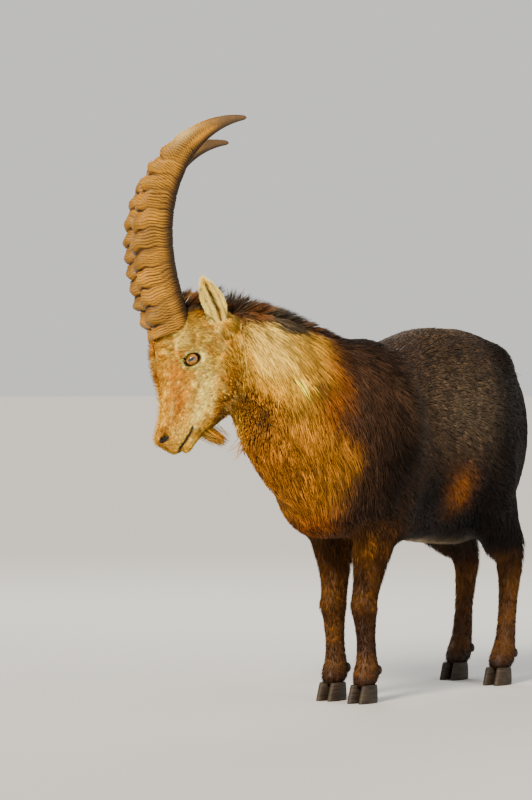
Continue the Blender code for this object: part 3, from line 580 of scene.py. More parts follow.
EAR_ROOT = Vector((-0.006, 0.070, -0.012))
EAR_TIP = Vector((-0.082, 0.115, 0.077))
EAR_OPENING = Vector((0.35, 0.90, 0.10))
EAR = [
    # share of the length, half width, depth of the back, depth of the hollow; below 0 it bulges
    (-0.16, 0.013, 0.011, -0.010),
    (0.00, 0.014, 0.012, -0.011),
    (0.10, 0.016, 0.013, -0.008),
    (0.20, 0.020, 0.0145, 0.003),
    (0.32, 0.0255, 0.016, 0.0118),
    (0.48, 0.0280, 0.0162, 0.0132),
    (0.64, 0.0260, 0.0138, 0.0114),
    (0.79, 0.0198, 0.0100, 0.0080),
    (0.91, 0.0116, 0.0062, 0.0046),
    (1.00, 0.0030, 0.0026, 0.0010),
]
EAR_LENGTH = (EAR_TIP - EAR_ROOT).length


def ear_frame(side):
    """The ear's root, its length's way, the way its opening faces and its width's way."""
    root = mirrored(EAR_ROOT, side)
    way = (mirrored(EAR_TIP, side) - root).normalized()
    face = mirrored(EAR_OPENING, side)
    face = (face - way * face.dot(way)).normalized()
    return root, way, face, way.cross(face)


def ear(side):
    root, way, face, across = ear_frame(side)
    half = 16
    rings = []
    for share, wide, back, hollow in through(EAR, 3):
        centre = root + way * (share * EAR_LENGTH)
        rim = 0.0014 * min(1, wide / 0.015)
        ring = []
        for j in range(half):
            a = math.pi * (j / (half - 1) - 0.5)
            ring.append(centre + across * (wide * math.sin(a)) - face * (back * math.cos(a)))
        for j in range(half - 2, 0, -1):
            a = math.pi * (j / (half - 1) - 0.5)
            ring.append(centre + across * ((wide - rim) * math.sin(a)) - face * (hollow * math.cos(a)))
        rings.append(ring)
    return into_head(skin_rings("ear", rings))


TAIL_OFF = 0.025
TAIL_ROWS = [
    # drop below the root, half width, half thickness
    (0.045, 0.020, 0.011),
    (0.080, 0.020, 0.010),
    (0.110, 0.013, 0.007),
    (0.132, 0.005, 0.004),
]


def tail_core(body):
    """The tail under its hair, from the rump down."""
    tree = BVHTree.FromObject(body, bpy.context.evaluated_depsgraph_get())
    rows = []
    for along in (-0.030, 0.018):
        place = TAIL_ROOT + TAIL_WAY * along
        rows.append((place.x, 0, place.z, 0.018, 0.012, 0.012))
    for drop, wide, thick in TAIL_ROWS:
        rump = tree.ray_cast(Vector((1, 0, TAIL_ROOT.z - drop)), Vector((-1, 0, 0)))[0]
        rows.append((max(rump.x, TAIL_ROOT.x) + TAIL_OFF, 0, rump.z, wide, thick, thick))
    return tube("tail_core", rows, side=Vector((0, 1, 0)), around=16, first_way=TAIL_WAY)


COAT_DEPTH = {"face": 0.0012, "neck": 0.004, "trunk": 0.007, "leg": 0.003}


def coat_depth(points):
    """How deep the skin lies under the solids' surface."""
    head = ramp(beyond_nape(points), -0.03, 0.03)
    leg = ramp(0.46 - points[:, 2], 0.0, 0.10)
    fore = ramp((points - np.array(SHOULDER_CUT)) @ np.array(SHOULDER_WAY), -0.05, 0.05)
    depth = COAT_DEPTH["trunk"] * (1 - fore) + COAT_DEPTH["neck"] * fore
    depth = depth * (1 - leg) + COAT_DEPTH["leg"] * leg
    return depth * (1 - head) + COAT_DEPTH["face"] * head


def sunk(obj):
    """Draws a form in from the solids' surface by the depth of its coat."""
    points = corners_of(obj)
    moved_to(obj, points - vertex_normals(obj) * coat_depth(points)[:, None])


body = fused("body_form", body_clay() + head_clay(), BODY_VOXEL)
places = corners_of(body)
near_face = np.clip(beyond_nape(places) / 0.05 + 1, 0, 1)
near_foot = np.clip((0.50 - places[:, 2]) / 0.14, 0, 1) * (1 - near_face)
smoothed(body, 1.0 - 0.95 * near_face - 0.80 * near_foot, rounds=60)
tail = tail_core(body)

NECK_STUB = 0.08
head = fused("head_form", head_clay() + [tube("neck_core", NECK)], HEAD_VOXEL)
muzzle = ramp(to_head(corners_of(head))[:, 0], 0.24, 0.29)
smoothed(head, 1.0 - 0.70 * muzzle, rounds=34)
parted(head, -NECK_STUB, keep_front=True)
carved_head(head)
smoothed(head, np.ones(len(head.data.vertices)), rounds=2)
parted(head, -NAPE_OVERLAP, keep_front=True)
sunk(head)
sunk_rim(head)
combined(head, [ear(1), ear(-1)], "UNION")

SEAM_REACH = 0.016
skin = parted(body, 0.0, keep_front=False)
skin.name = "skin"
sunk(skin)
combined(skin, [tail, head], "UNION")
smoothed(skin, np.exp(-(beyond_nape(corners_of(skin)) / SEAM_REACH) ** 2), rounds=24)


# The lie and the markings of the coat
# Hair runs from the muzzle back over the head, down and back along the neck and trunk, and down the
# legs. A straw and cream head and a golden neck meet a chocolate trunk with a greyish bloom, a rust
# patch at the stifle, a pale belly and dark legs. Skin and hair take their colour from one place.
# Light and shade are painted into the colour as well: painted shade behind the shoulders, low on the
# flanks, over the haunch, under the chin and jaw, in the slit of the throat, round the nostrils, in
# the mouth, in the folds round the eyes and on the rear of the legs, and painted highlights on the legs.

NECK_LINE = through(NECK, 8)[:, :3]


def unit(vectors):
    return vectors / np.maximum(np.linalg.norm(vectors, axis=1), 1e-9)[:, None]


def along_neck(points):
    """Share of the neck's length, 0 at the withers, with the way forward and the angle from the nape."""
    apart = ((points[:, None, :] - NECK_LINE[None]) ** 2).sum(2)
    nearest = apart.argmin(1)
    way = unit(np.gradient(NECK_LINE, axis=0))[nearest]
    left = unit(np.array(LEFT) - way * (way @ np.array(LEFT))[:, None])
    over = np.cross(way, left)
    off = points - NECK_LINE[nearest]
    angle = np.degrees(np.arctan2((off * left).sum(1), (off * over).sum(1)))
    return nearest / (len(NECK_LINE) - 1), way, angle


NOISE_CELLS = 32


def noise(points, size, seed):
    """Smooth value noise from -1 to 1, seeded, for points in metres."""
    table = np.random.default_rng(seed).uniform(-1, 1, (NOISE_CELLS,) * 3)
    cell = points / size
    low = np.floor(cell).astype(int)
    t = cell - low
    t = t * t * (3 - 2 * t)
    total = np.zeros(len(points))
    for corner in np.ndindex(2, 2, 2):
        weight = np.prod(np.where(corner, t, 1 - t), axis=1)
        total += weight * table[tuple(((low + np.array(corner)) % NOISE_CELLS).T)]
    return total


def shares(points):
    """How much each place belongs to head, neck and leg."""
    head_part = ramp(beyond_nape(points), -0.015, 0.02)
    fore = ramp((points - np.array(SHOULDER_CUT)) @ np.array(SHOULDER_WAY), -0.07, 0.02)
    leg_part = ramp(0.50 - points[:, 2], 0.0, 0.10) * (1 - head_part)
    return head_part, fore * (1 - head_part), leg_part


def folded_head(points):
    """Places in head space, with the right side laid over the left."""
    local = to_head(points)
    return np.stack([local[:, 0], np.abs(local[:, 1]), local[:, 2]], axis=1)


def ear_share(points):
    """Share of the ear's length, with how far off its axis a place lies to the opening and across."""
    root, way, face, across = (np.array(v) for v in ear_frame(1))
    off = folded_head(points) - root
    return off @ way / EAR_LENGTH, off @ face, off @ across


def on_ear(points):
    share, face, across = ear_share(points)
    return (np.abs(across) < 0.034) & (np.abs(face) < 0.024) & (share > 0.10) & (share < 1.05)


HEAD_TURNED = np.array(HEAD.to_3x3())


def coat_lie(points, normals):
    """The way the hair lies at each place, along the skin."""
    head_part, neck_part, leg_part = shares(points)
    side = np.sign(points[:, 1])
    low = ramp(0.86 - points[:, 2], 0.0, 0.40)
    rear = ramp(points[:, 0], 0.26, 0.46)
    trunk = np.stack([1.0 - 0.75 * rear, 0.10 * side, -0.12 - 0.75 * low - 0.9 * rear], axis=1)
    _, way, angle = along_neck(points)
    fall = np.interp(np.abs(angle), [0, 20, 60, 130, 180], [0.15, 0.50, 1.7, 2.4, 2.2])
    neck = -way - np.array(UP) * fall[:, None]
    leg = np.tile([0.12, 0.0, -1.0], (len(points), 1))
    local = to_head(points)
    cheek = ramp(0.20 - local[:, 0], 0.0, 0.14)
    spread = 0.25 * np.sign(local[:, 1]) * ramp(local[:, 2], 0.0, 0.05)
    face = np.stack([0.80 * cheek - 1, spread, -0.22 - 0.78 * cheek], axis=1)
    ears = on_ear(points)
    face[ears] = np.array(ear_frame(1)[1])
    face[ears, 1] *= np.sign(local[ears, 1])
    face = unit(face @ HEAD_TURNED.T)
    joining = (ramp(0.11 - beyond_nape(points), 0.0, 0.10) * ~ears)[:, None]
    face = face * (1 - joining) + unit(neck) * joining
    lie = unit(trunk) * (1 - neck_part)[:, None] + unit(neck) * neck_part[:, None]
    lie = lie * (1 - leg_part)[:, None] + leg * leg_part[:, None]
    lie = lie * (1 - head_part)[:, None] + unit(face) * head_part[:, None]
    turn = 0.22 * noise(points, 0.06, 5) * (1 - head_part) + 0.10 * noise(points, 0.02, 6)
    lie = unit(lie - normals * (lie * normals).sum(1)[:, None])
    return unit(lie + np.cross(normals, lie) * turn[:, None])


STRAW = (0.780, 0.415, 0.026)
CREAM = (0.980, 0.750, 0.190)
AMBER = (0.550, 0.205, 0.005)
RUST = (0.235, 0.066, 0.005)
GOLD = (0.370, 0.150, 0.010)
CHOCOLATE = (0.042, 0.019, 0.009)
BLOOM = (0.140, 0.092, 0.052)
NEAR_BLACK = (0.009, 0.0055, 0.004)
SLATE = (0.040, 0.030, 0.024)
INK = (0.004, 0.0022, 0.0016)
LEG_BROWN = (0.100, 0.032, 0.004)
LEG_HIGHLIGHT = (0.300, 0.115, 0.010)

FACE_MARKS_AND_SHADE = [
    # place in head space, the left side's, radii, colour, strength
    ((0.070, 0.050, 0.075), (0.036, 0.040, 0.030), CREAM, 0.85),
    ((0.130, 0.060, -0.006), (0.030, 0.050, 0.024), CREAM, 0.95),
    ((0.170, 0.050, -0.030), (0.056, 0.040, 0.024), CREAM, 0.95),
    ((0.220, 0.040, -0.036), (0.040, 0.040, 0.016), CREAM, 0.95),
    ((0.030, 0.060, 0.010), (0.050, 0.050, 0.030), CREAM, 0.45),
    ((0.150, 0.050, 0.052), (0.060, 0.034, 0.026), AMBER, 0.90),
    ((0.215, 0.040, 0.020), (0.044, 0.040, 0.028), AMBER, 0.95),
    ((0.190, 0.044, 0.030), (0.040, 0.030, 0.016), RUST, 0.40),
    ((0.105, 0.000, 0.125), (0.060, 0.036, 0.038), RUST, 0.95),
    ((0.165, 0.000, 0.088), (0.060, 0.032, 0.028), RUST, 0.90),
    ((0.060, 0.020, 0.130), (0.026, 0.030, 0.028), RUST, 0.90),
    ((0.238, 0.036, 0.012), (0.024, 0.030, 0.014), RUST, 0.55),
    ((0.104, 0.060, -0.084), (0.050, 0.050, 0.034), RUST, 0.60),
    ((0.130, 0.060, -0.114), (0.054, 0.050, 0.028), RUST, 0.95),
    ((0.185, 0.040, -0.088), (0.056, 0.040, 0.024), RUST, 0.95),
    # painted shade under the chin and jaw
    ((0.225, 0.010, -0.090), (0.050, 0.030, 0.018), CHOCOLATE, 0.80),
    ((0.290, 0.020, -0.005), (0.026, 0.030, 0.024), CREAM, 0.45),
    # painted shade round the nostril
    ((0.292, 0.034, 0.030), (0.022, 0.024, 0.018), RUST, 0.80),
    ((0.312, 0.020, 0.004), (0.018, 0.030, 0.018), RUST, 0.45),
    # painted shade below the corner of the mouth
    ((0.262, 0.034, -0.048), (0.022, 0.030, 0.012), RUST, 0.65),
    ((0.056, 0.062, 0.048), (0.016, 0.030, 0.012), RUST, 0.45),
    ((0.026, 0.060, -0.020), (0.022, 0.040, 0.034), AMBER, 0.70),
    ((-0.030, 0.055, 0.040), (0.034, 0.026, 0.050), RUST, 0.80),
    ((-0.045, 0.040, -0.070), (0.040, 0.045, 0.055), SLATE, 0.85),
    ((-0.025, 0.000, 0.055), (0.060, 0.046, 0.055), NEAR_BLACK, 0.98),
    # painted shade between the jaw and the throat
    ((0.125, 0.010, -0.155), (0.040, 0.040, 0.022), NEAR_BLACK, 0.85),
]

STIFLE = (0.400, 0.120, 0.009)
TAN = (0.520, 0.370, 0.210)
UPPER_SPOTS = [
    # place, radii, colour, strength
    ((0.000, -0.190, 0.740), (0.230, 0.200, 0.120), BLOOM, 0.95),
    ((0.040, 0.190, 0.740), (0.230, 0.200, 0.120), BLOOM, 0.95),
    ((0.150, 0.000, 0.950), (0.240, 0.160, 0.070), BLOOM, 0.60),
    ((-0.320, 0.000, 0.920), (0.100, 0.130, 0.080), NEAR_BLACK, 0.80),
]
BODY_MARKS_AND_SHADE = [
    # The first two rows are painted shade, near-black behind each shoulder. The rest are the coat's own
    # marks.
    ((-0.370, -0.170, 0.620), (0.070, 0.070, 0.130), INK, 0.88),
    ((-0.350, 0.170, 0.620), (0.070, 0.070, 0.130), INK, 0.88),
    ((-0.042, -0.165, 0.535), (0.056, 0.070, 0.050), STIFLE, 0.98),
    ((0.066, 0.165, 0.530), (0.064, 0.070, 0.040), STIFLE, 0.75),
    ((0.060, 0.000, 0.395), (0.220, 0.060, 0.026), TAN, 0.95),
    ((0.134, 0.004, 0.955), (0.016, 0.020, 0.020), TAN, 0.90),
    ((0.500, 0.000, 0.690), (0.060, 0.052, 0.100), TAN, 0.65),
]


def blended(colour, tint, share):
    share = np.reshape(np.clip(share, 0, 1), (-1, 1))
    return colour * (1 - share) + np.array(tint) * share


def laid_over(colour, *layers):
    """Lays tints over a colour, one after the other, each with its share at every place."""
    for tint, share in layers:
        colour = blended(colour, tint, share)
    return colour


def with_spots(colour, places, spots):
    """Lays soft-edged patches over a colour, one after the other."""
    for centre, radii, tint, strength in spots:
        reach = (((places - np.array(centre)) / np.array(radii)) ** 2).sum(1)
        colour = blended(colour, tint, strength * np.exp(-reach))
    return colour


def plain(colour, points):
    return np.tile(colour, (len(points), 1))


def on_tail(points):
    behind = ramp(points[:, 0], 0.506, 0.516)
    return behind * (np.abs(points[:, 1]) < 0.040) * ramp(points[:, 2], 0.60, 0.63)


def shank_middle(points):
    """The fore and aft middle of the leg that each place is nearest to."""
    found = np.zeros(len(points))
    for foot, side, rows in FEET.values():
        own = (np.sign(points[:, 1]) == side) & (np.abs(points[:, 0] - foot[0]) < 0.25)
        table = np.array(rows)[::-1]
        found[own] = foot[0] + np.interp(points[own, 2], table[:, 2], table[:, 0])
    return found


def trunk_colour(points):
    x, z = points[:, 0], points[:, 2]
    patches = noise(points, 0.05, 21)
    trunk = with_spots(plain(CHOCOLATE, points), points, UPPER_SPOTS)
    # Painted shade: near-black low on the flank behind the shoulder, and over the haunch.
    low = 0.95 * ramp(0.64 - z + 0.03 * patches, 0.0, 0.12) * ramp(x, -0.34, -0.20)
    haunch_shade = 0.92 * ramp(x + 0.35 * (0.72 - z), 0.05, 0.22)
    trunk = blended(trunk, INK, np.maximum(low, haunch_shade))
    trunk = with_spots(trunk, points, BODY_MARKS_AND_SHADE)
    trunk = blended(trunk, NEAR_BLACK, 0.95 * on_tail(points))
    # Painted highlights on the legs: in upright streaks, at the knee and the fetlock, and on the upper leg.
    upright = noise(points * [1, 1, 0.3], 0.040, 29)
    lit = np.exp(-((z - 0.27) / 0.035) ** 2) + np.exp(-((z - 0.10) / 0.022) ** 2)
    leg = laid_over(
        plain(LEG_BROWN, points),
        (NEAR_BLACK, 0.45 * ramp(patches, -0.3, 0.6)),
        (LEG_HIGHLIGHT, 0.50 * ramp(upright, -0.3, 0.8) * ramp(z, 0.10, 0.20)),
        (LEG_HIGHLIGHT, 0.30 * lit + 0.15 * ramp(z, 0.36, 0.44)),
        # painted shade over the rear half of each shank
        (NEAR_BLACK, 0.70 * ramp(x - shank_middle(points), -0.012, 0.020)),
        (NEAR_BLACK, 0.6 * ramp(0.075 - z, 0.0, 0.03)))
    shin = ramp(np.where(x < -0.15, 0.50, 0.40) - z, 0.0, 0.10)[:, None]
    return trunk * (1 - shin) + leg * shin


NECK_SPOTS = [
    # place, radii, colour, strength
    ((-0.556, -0.018, 0.845), (0.024, 0.035, 0.048), CHOCOLATE, 0.88),
    ((-0.470, -0.100, 0.530), (0.050, 0.065, 0.065), CHOCOLATE, 0.75),
    ((-0.524, 0.060, 0.947), (0.040, 0.060, 0.030), SLATE, 0.60),
    ((-0.540, 0.020, 0.890), (0.020, 0.030, 0.040), CHOCOLATE, 0.60),
    ((-0.470, -0.060, 0.870), (0.030, 0.040, 0.030), CHOCOLATE, 0.60),
]


def neck_colour(points):
    share, _, angle = along_neck(points)
    turned = np.abs(angle)
    rusty = 0.95 * ramp(0.62 - share, 0.0, 0.12) * ramp(136 - turned, 0, 26)
    rusty = rusty + 0.75 * ramp(0.42 - share, 0.0, 0.10) + 0.35 * ramp(turned, 150, 175)
    streaks = noise(points * [1, 1, 0.25], 0.020, 22)
    neck = laid_over(
        plain(GOLD, points),
        (STRAW, 0.90 * ramp(share, 0.48, 0.68) * ramp(160 - turned, 0, 50)),
        (CREAM, 0.45 * ramp(share, 0.62, 0.80) * ramp(130 - turned, 0, 40)),
        (RUST, rusty),
        (CHOCOLATE, 0.60 * ramp(streaks, 0.15, 0.60)),
        (CHOCOLATE, 0.85 * ramp(0.46 - share, 0.0, 0.12) * ramp(75 - turned, 0, 30)))
    reach = 34 + 14 * ramp(share, 0.55, 0.75) + 14 * noise(points, 0.035, 25)
    dark = ramp(reach - turned, 0, 14)
    return laid_over(
        with_spots(neck, points, NECK_SPOTS),
        (SLATE, 0.94 * dark),
        (RUST, 0.55 * dark * ramp(noise(points, 0.028, 26), 0.0, 0.4)),
        # painted shade in the slit between the jaw and the throat
        (NEAR_BLACK, 0.90 * ramp(turned, 150, 166) * ramp(share, 0.66, 0.78)))


def eye_rim(points):
    """How far a place lies from the middle of the eye, in halves of its opening, and how far out."""
    centre, out, along, across = (np.array(v) for v in eye_frame(1))
    off = folded_head(points) - centre
    rim = np.hypot(off @ along / EYE_OPENING[0], off @ across / EYE_OPENING[1])
    return rim, off @ out


def mouth_gap(points):
    """How far a place lies from the line of the mouth, out of the face."""
    folded = folded_head(points)
    gap = np.abs(folded[:, 2] - np.interp(folded[:, 0], *zip(*MOUTH_LINE)))
    return np.where(folded[:, 0] > MOUTH_LINE[0][0] + 0.002, gap, 1.0)


NOSTRIL_MIDDLE = (0.308, 0.034, 0.020)
NOSTRIL_HALF = (0.0125, 0.016, 0.0072)


def nostril_rim(points):
    """How far a place lies from the middle of the nostril, in halves of its dark opening."""
    off = folded_head(points) - NOSTRIL_MIDDLE
    c, s = math.cos(NOSTRIL_TURN), math.sin(NOSTRIL_TURN)
    along = off[:, 0] * c + off[:, 2] * s
    across = off[:, 2] * c - off[:, 0] * s
    deep, out, high = NOSTRIL_HALF
    return np.sqrt((along / deep) ** 2 + (across / high) ** 2 + (off[:, 1] / out) ** 2)


def ear_colour(points):
    """Brown-backed ears with a pale hollow, a dark line along it and a dark line inside each rim."""
    share, depth, wide = ear_share(points)
    hollow = ramp(depth, -0.017, -0.012)
    wavy = np.abs(wide + 0.003 * noise(points, 0.02, 28))
    return laid_over(
        plain(STRAW, points),
        (CHOCOLATE, 0.65 * ramp(-depth, 0.008, 0.014)),
        (CREAM, 0.85 * hollow * ramp(wavy, 0.004, 0.008)),
        (NEAR_BLACK, 0.95 * hollow * ramp(0.0065 - wavy, 0.0, 0.003) * ramp(0.92 - share, 0, 0.1)),
        (NEAR_BLACK, 0.75 * hollow * np.exp(-((wavy - 0.017) / 0.0022) ** 2) * (share < 0.8)),
        (CREAM, 0.8 * ramp(np.abs(wide), 0.018, 0.024) + 0.6 * ramp(share, 0.85, 1.0)))


def face_colour(points):
    local = to_head(points)
    crown = ramp(0.055 - np.abs(local[:, 1]), 0.0, 0.018) * ramp(0.018 - local[:, 0], 0.0, 0.02)
    rim, out = eye_rim(points)
    # Painted shade: a rust line in the crease of the fold round each eye.
    crease_shade = np.exp(-((rim - 1.75) / 0.10) ** 2)
    face = laid_over(
        with_spots(plain(STRAW, points) * 0.92, folded_head(points), FACE_MARKS_AND_SHADE),
        (AMBER, 0.55 * ramp(noise(points, 0.014, 23), 0.0, 0.7)),
        (RUST, 0.35 * ramp(noise(points, 0.006, 24), 0.1, 0.8)),
        (CREAM, 0.35 * ramp(noise(points, 0.011, 27), 0.1, 0.7)),
        (SLATE, 0.96 * crown),
        (RUST, 0.60 * crown * ramp(noise(points, 0.022, 30), 0.1, 0.5)),
        (CREAM, np.where(out > -0.01, 0.85 * ramp(-rim, -2.1, -1.5), 0)),
        (RUST, np.where(out > -0.01, 0.60 * crease_shade, 0)),
        (INK, np.where(out > 0, 0.97 * ramp(-rim, -1.30, -1.14), 0)),
        # Painted shade: near-black in the gap of the mouth and in each nostril's opening.
        (NEAR_BLACK, 0.95 * ramp(-mouth_gap(points), -0.0046, -MOUTH_GROOVE)),
        (NEAR_BLACK, ramp(-nostril_rim(points), -1.25, -1.0)))
    ears = on_ear(points)
    face[ears] = ear_colour(points)[ears]
    return face


def coat_colour(points):
    """The coat's colour at each place, before the differences between one hair and the next."""
    head_part, _, _ = shares(points)
    wavy = 0.024 * noise(points, 0.05, 21)
    forward = -0.866 * points[:, 0] + 0.5 * points[:, 1] + wavy
    fore = ramp(forward, 0.358, 0.436)[:, None]
    colour = trunk_colour(points) * (1 - fore) + neck_colour(points) * fore
    head_part = head_part[:, None]
    return colour * (1 - head_part) + face_colour(points) * head_part


def painted(obj, colours):
    """Stores a colour at each point of a piece, for its material to read."""
    layer = obj.data.attributes.new("coat", "FLOAT_COLOR", "POINT")
    layer.data.foreach_set("color", np.c_[colours, np.ones(len(colours))].astype(np.float32).ravel())


def new_material(name, roughness, specular=0.5):
    """A new material and its shader."""
    made = bpy.data.materials.new(name)
    made.use_nodes = True
    shader = made.node_tree.nodes["Principled BSDF"]
    shader.inputs["Roughness"].default_value = roughness
    shader.inputs["Specular IOR Level"].default_value = specular
    return made, shader


def node(material, kind, inputs, **settings):
    """Adds a node. Each input is a value, or another node's output to be linked to it."""
    added = material.node_tree.nodes.new(kind)
    for name, value in settings.items():
        setattr(added, name, value)
    for key, value in inputs.items():
        if isinstance(value, bpy.types.NodeSocket):
            material.node_tree.links.new(value, added.inputs[key])
        else:
            added.inputs[key].default_value = value
    return added


def tinted_material(name, roughness, specular, grain_size, darkest, lightest):
    """A finish that takes its colour from the piece's own paint, broken up by a fine grain."""
    made, shader = new_material(name, roughness, specular)
    colour = node(made, "ShaderNodeAttribute", {}, attribute_name="coat").outputs["Color"]
    place = node(made, "ShaderNodeTexCoord", {}).outputs["Object"]
    grain = node(
        made, "ShaderNodeTexNoise",
        {"Vector": place, "Scale": 1 / grain_size, "Detail": 3}).outputs["Fac"]
    shade = node(
        made, "ShaderNodeMapRange",
        {"Value": grain, "To Min": darkest, "To Max": lightest}).outputs["Result"]
    mixed = node(made, "ShaderNodeVectorMath", {0: colour, "Scale": shade}, operation="SCALE")
    made.node_tree.links.new(mixed.outputs["Vector"], shader.inputs["Base Color"])
    return made, grain


def bumped(material, height, depth, strength):
    """Raises a finish's surface by the value of one of its nodes."""
    bump = node(
        material, "ShaderNodeBump", {"Strength": strength, "Distance": depth, "Height": height})
    shader = material.node_tree.nodes["Principled BSDF"]
    material.node_tree.links.new(bump.outputs["Normal"], shader.inputs["Normal"])


hide, hide_grain = tinted_material(
    "hide", roughness=0.62, specular=0.3, grain_size=0.0024, darkest=0.45, lightest=1.0)
bumped(hide, hide_grain, depth=0.0012, strength=0.5)


def settled(obj, material, slot, *nodes):
    """Moves a finished piece to the frame's own place, gives it its finish and says what it replaces."""
    obj.data.transform(Matrix.Translation(SHIFT))
    obj.data.materials.clear()
    obj.data.materials.append(material)
    obj.data.shade_smooth()
    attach(obj, "root")
    if nodes:
        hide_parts(*nodes)
    return obj


applied(skin, "TRIANGULATE")
skin_points = corners_of(skin)
skin_normals = vertex_normals(skin)
skin_corners = np.empty(len(skin.data.polygons) * 3, np.int32)
skin.data.polygons.foreach_get("vertices", skin_corners)
skin_corners = skin_corners.reshape(-1, 3)
skin_colours = coat_colour(skin_points)
skin_lie = coat_lie(skin_points, skin_normals)
painted(skin, skin_colours * (0.55 + 0.30 * shares(skin_points)[0])[:, None])
skin_tree = BVHTree.FromPolygons(skin_points.tolist(), skin_corners.tolist())
settled(
    skin, hide, "coat_dark", "torso", "neck", "head", "tail", "ear_left", "ear_right",
    "foreleg_left", "foreleg_right", "hindleg_left", "hindleg_right")


# The coat
# Hair in tapering three-sided tufts, rooted in the hide and laid along the lie of the coat: needles
# on the face, legs and ears, bent tufts on the trunk, and long locks whose tips draw together on the
# neck, the mane of the nape, the beard and the tail.

NEEDLE = [
    # share of the length, of the width, of the height off the skin
    (-0.10, 0.90, -0.35),
    (1.00, 0.00, 1.00),
]
TUFT = [
    (-0.06, 0.85, -0.30),
    (0.45, 1.00, 0.75),
    (1.00, 0.00, 1.00),
]
LONG_LOCK = [
    (-0.04, 0.70, -0.20),
    (0.25, 1.00, 0.60),
    (0.60, 0.90, 1.00),
    (1.00, 0.00, 0.90),
]
BLADE = [
    (-0.04, 0.80, -0.02),
    (0.35, 1.00, 0.42),
    (0.72, 0.80, 0.80),
    (1.00, 0.00, 1.00),
]


def scattered(weights, count, draw):
    """Roots spread evenly over the skin where the weights are, as corner numbers and shares."""
    a, b, c = (skin_points[skin_corners[:, k]] for k in range(3))
    area = np.linalg.norm(np.cross(b - a, c - a), axis=1) / 2 * weights[skin_corners].mean(1)
    total = np.cumsum(area)
    spots = (np.arange(count) + draw.uniform(0, 1, count)) * (total[-1] / count)
    faces = np.searchsorted(total, spots).clip(0, len(area) - 1)
    u, v = draw.uniform(0, 1, (2, count))
    flip = u + v > 1
    u[flip], v[flip] = 1 - u[flip], 1 - v[flip]
    return skin_corners[faces], np.stack([1 - u - v, u, v], axis=1)


def unwrapped(points):
    """Where each place lies on the hide laid flat: rolled off as head, neck, trunk, legs and ears."""
    head_part, neck_part, leg_part = shares(points)
    local = to_head(points)
    share, _, angle = along_neck(points)
    x, y, z = points.T
    roll = np.arctan2(y, z - 0.66) / (2 * math.pi) + 0.5
    flat = np.stack([0.02 + 0.60 * roll, 0.36 + 0.30 * (x + 0.6)], axis=1)
    is_neck = neck_part > 0.5
    flat[is_neck] = np.stack([0.36 + 0.30 * (angle / 360 + 0.5), 0.02 + 0.30 * share], axis=1)[is_neck]
    is_head = head_part > 0.5
    roll = np.arctan2(local[:, 1], local[:, 2]) / (2 * math.pi) + 0.5
    flat[is_head] = np.stack([0.02 + 0.30 * roll, 0.02 + 0.66 * (local[:, 0] + 0.10)], axis=1)[is_head]
    part, depth, wide = ear_share(points)
    ears = on_ear(points) & is_head
    ear_flat = np.stack([0.76 + 0.06 * np.sign(local[:, 1]) + wide, 0.05 + 0.2 * part], axis=1)
    ear_flat[depth > -0.008, 0] += 0.12
    flat[ears] = ear_flat[ears]
    for k, (foot, side, _) in enumerate(FEET.values()):
        near = (leg_part > 0.5) & (np.hypot(x - foot[0] - 0.02, y - foot[1]) < 0.14) & (np.sign(y) == side)
        roll = np.arctan2(y - foot[1], x - foot[0]) / (2 * math.pi) + 0.5
        flat[near] = np.stack([0.66 + 0.30 * roll, 0.36 + 0.15 * k + 0.25 * z], axis=1)[near]
    return flat


PATCH = 0.003


def triangle_mesh(name, points, faces):
    """An object straight from arrays of points and triangles."""
    mesh = bpy.data.meshes.new(name)
    mesh.vertices.add(len(points))
    mesh.vertices.foreach_set("co", points.astype(np.float32).ravel())
    mesh.loops.add(faces.size)
    mesh.loops.foreach_set("vertex_index", faces.astype(np.int32).ravel())
    mesh.polygons.add(len(faces))
    mesh.polygons.foreach_set("loop_start", np.arange(0, faces.size, 3, dtype=np.int32))
    mesh.update(calc_edges=True)
    return linked(name, mesh)


def tuft_faces(rings):
    """Triangles of one tuft: a capped root, walls between rings of three, and the closing tip."""
    faces = [(0, 1, 2)]
    for k in range(rings - 1):
        for j in range(3):
            a, b = k * 3 + j, k * 3 + (j + 1) % 3
            faces += [(a, b + 3, b), (a, a + 3, b + 3)]
    last = (rings - 1) * 3
    for j in range(3):
        faces.append((last + j, rings * 3, last + (j + 1) % 3))
    return np.array(faces)


DRAW_REACH = 0.04


def drawn_together(roots, tips, draw, leaders, pull):
    """How far each tip moves to the nearest leading tuft's, so that tufts end in shared points."""
    chosen = draw.permutation(len(roots))[:max(1, int(len(roots) * leaders))]
    tree = KDTree(len(chosen))
    for spot, index in enumerate(chosen):
        tree.insert(roots[index], spot)
    tree.balance()
    leader = np.array([chosen[tree.find(p)[1]] for p in roots])
    gap = tips[leader] - tips
    far = np.linalg.norm(gap, axis=1)
    return gap * (pull * np.exp(-(far / DRAW_REACH) ** 2))[:, None], leader


LENGTH_RANGE = (0.78, 1.18)
WIDTH_RANGE = (0.80, 1.25)
RISE_RANGE = (0.70, 1.30)
HUG_REACH = 0.60
PULL_CURVE = 1.4
ROOT_FADE = 0.7
TUFT_RIDGE = 0.45
PAINT_RANGE = (0.002, 0.95)


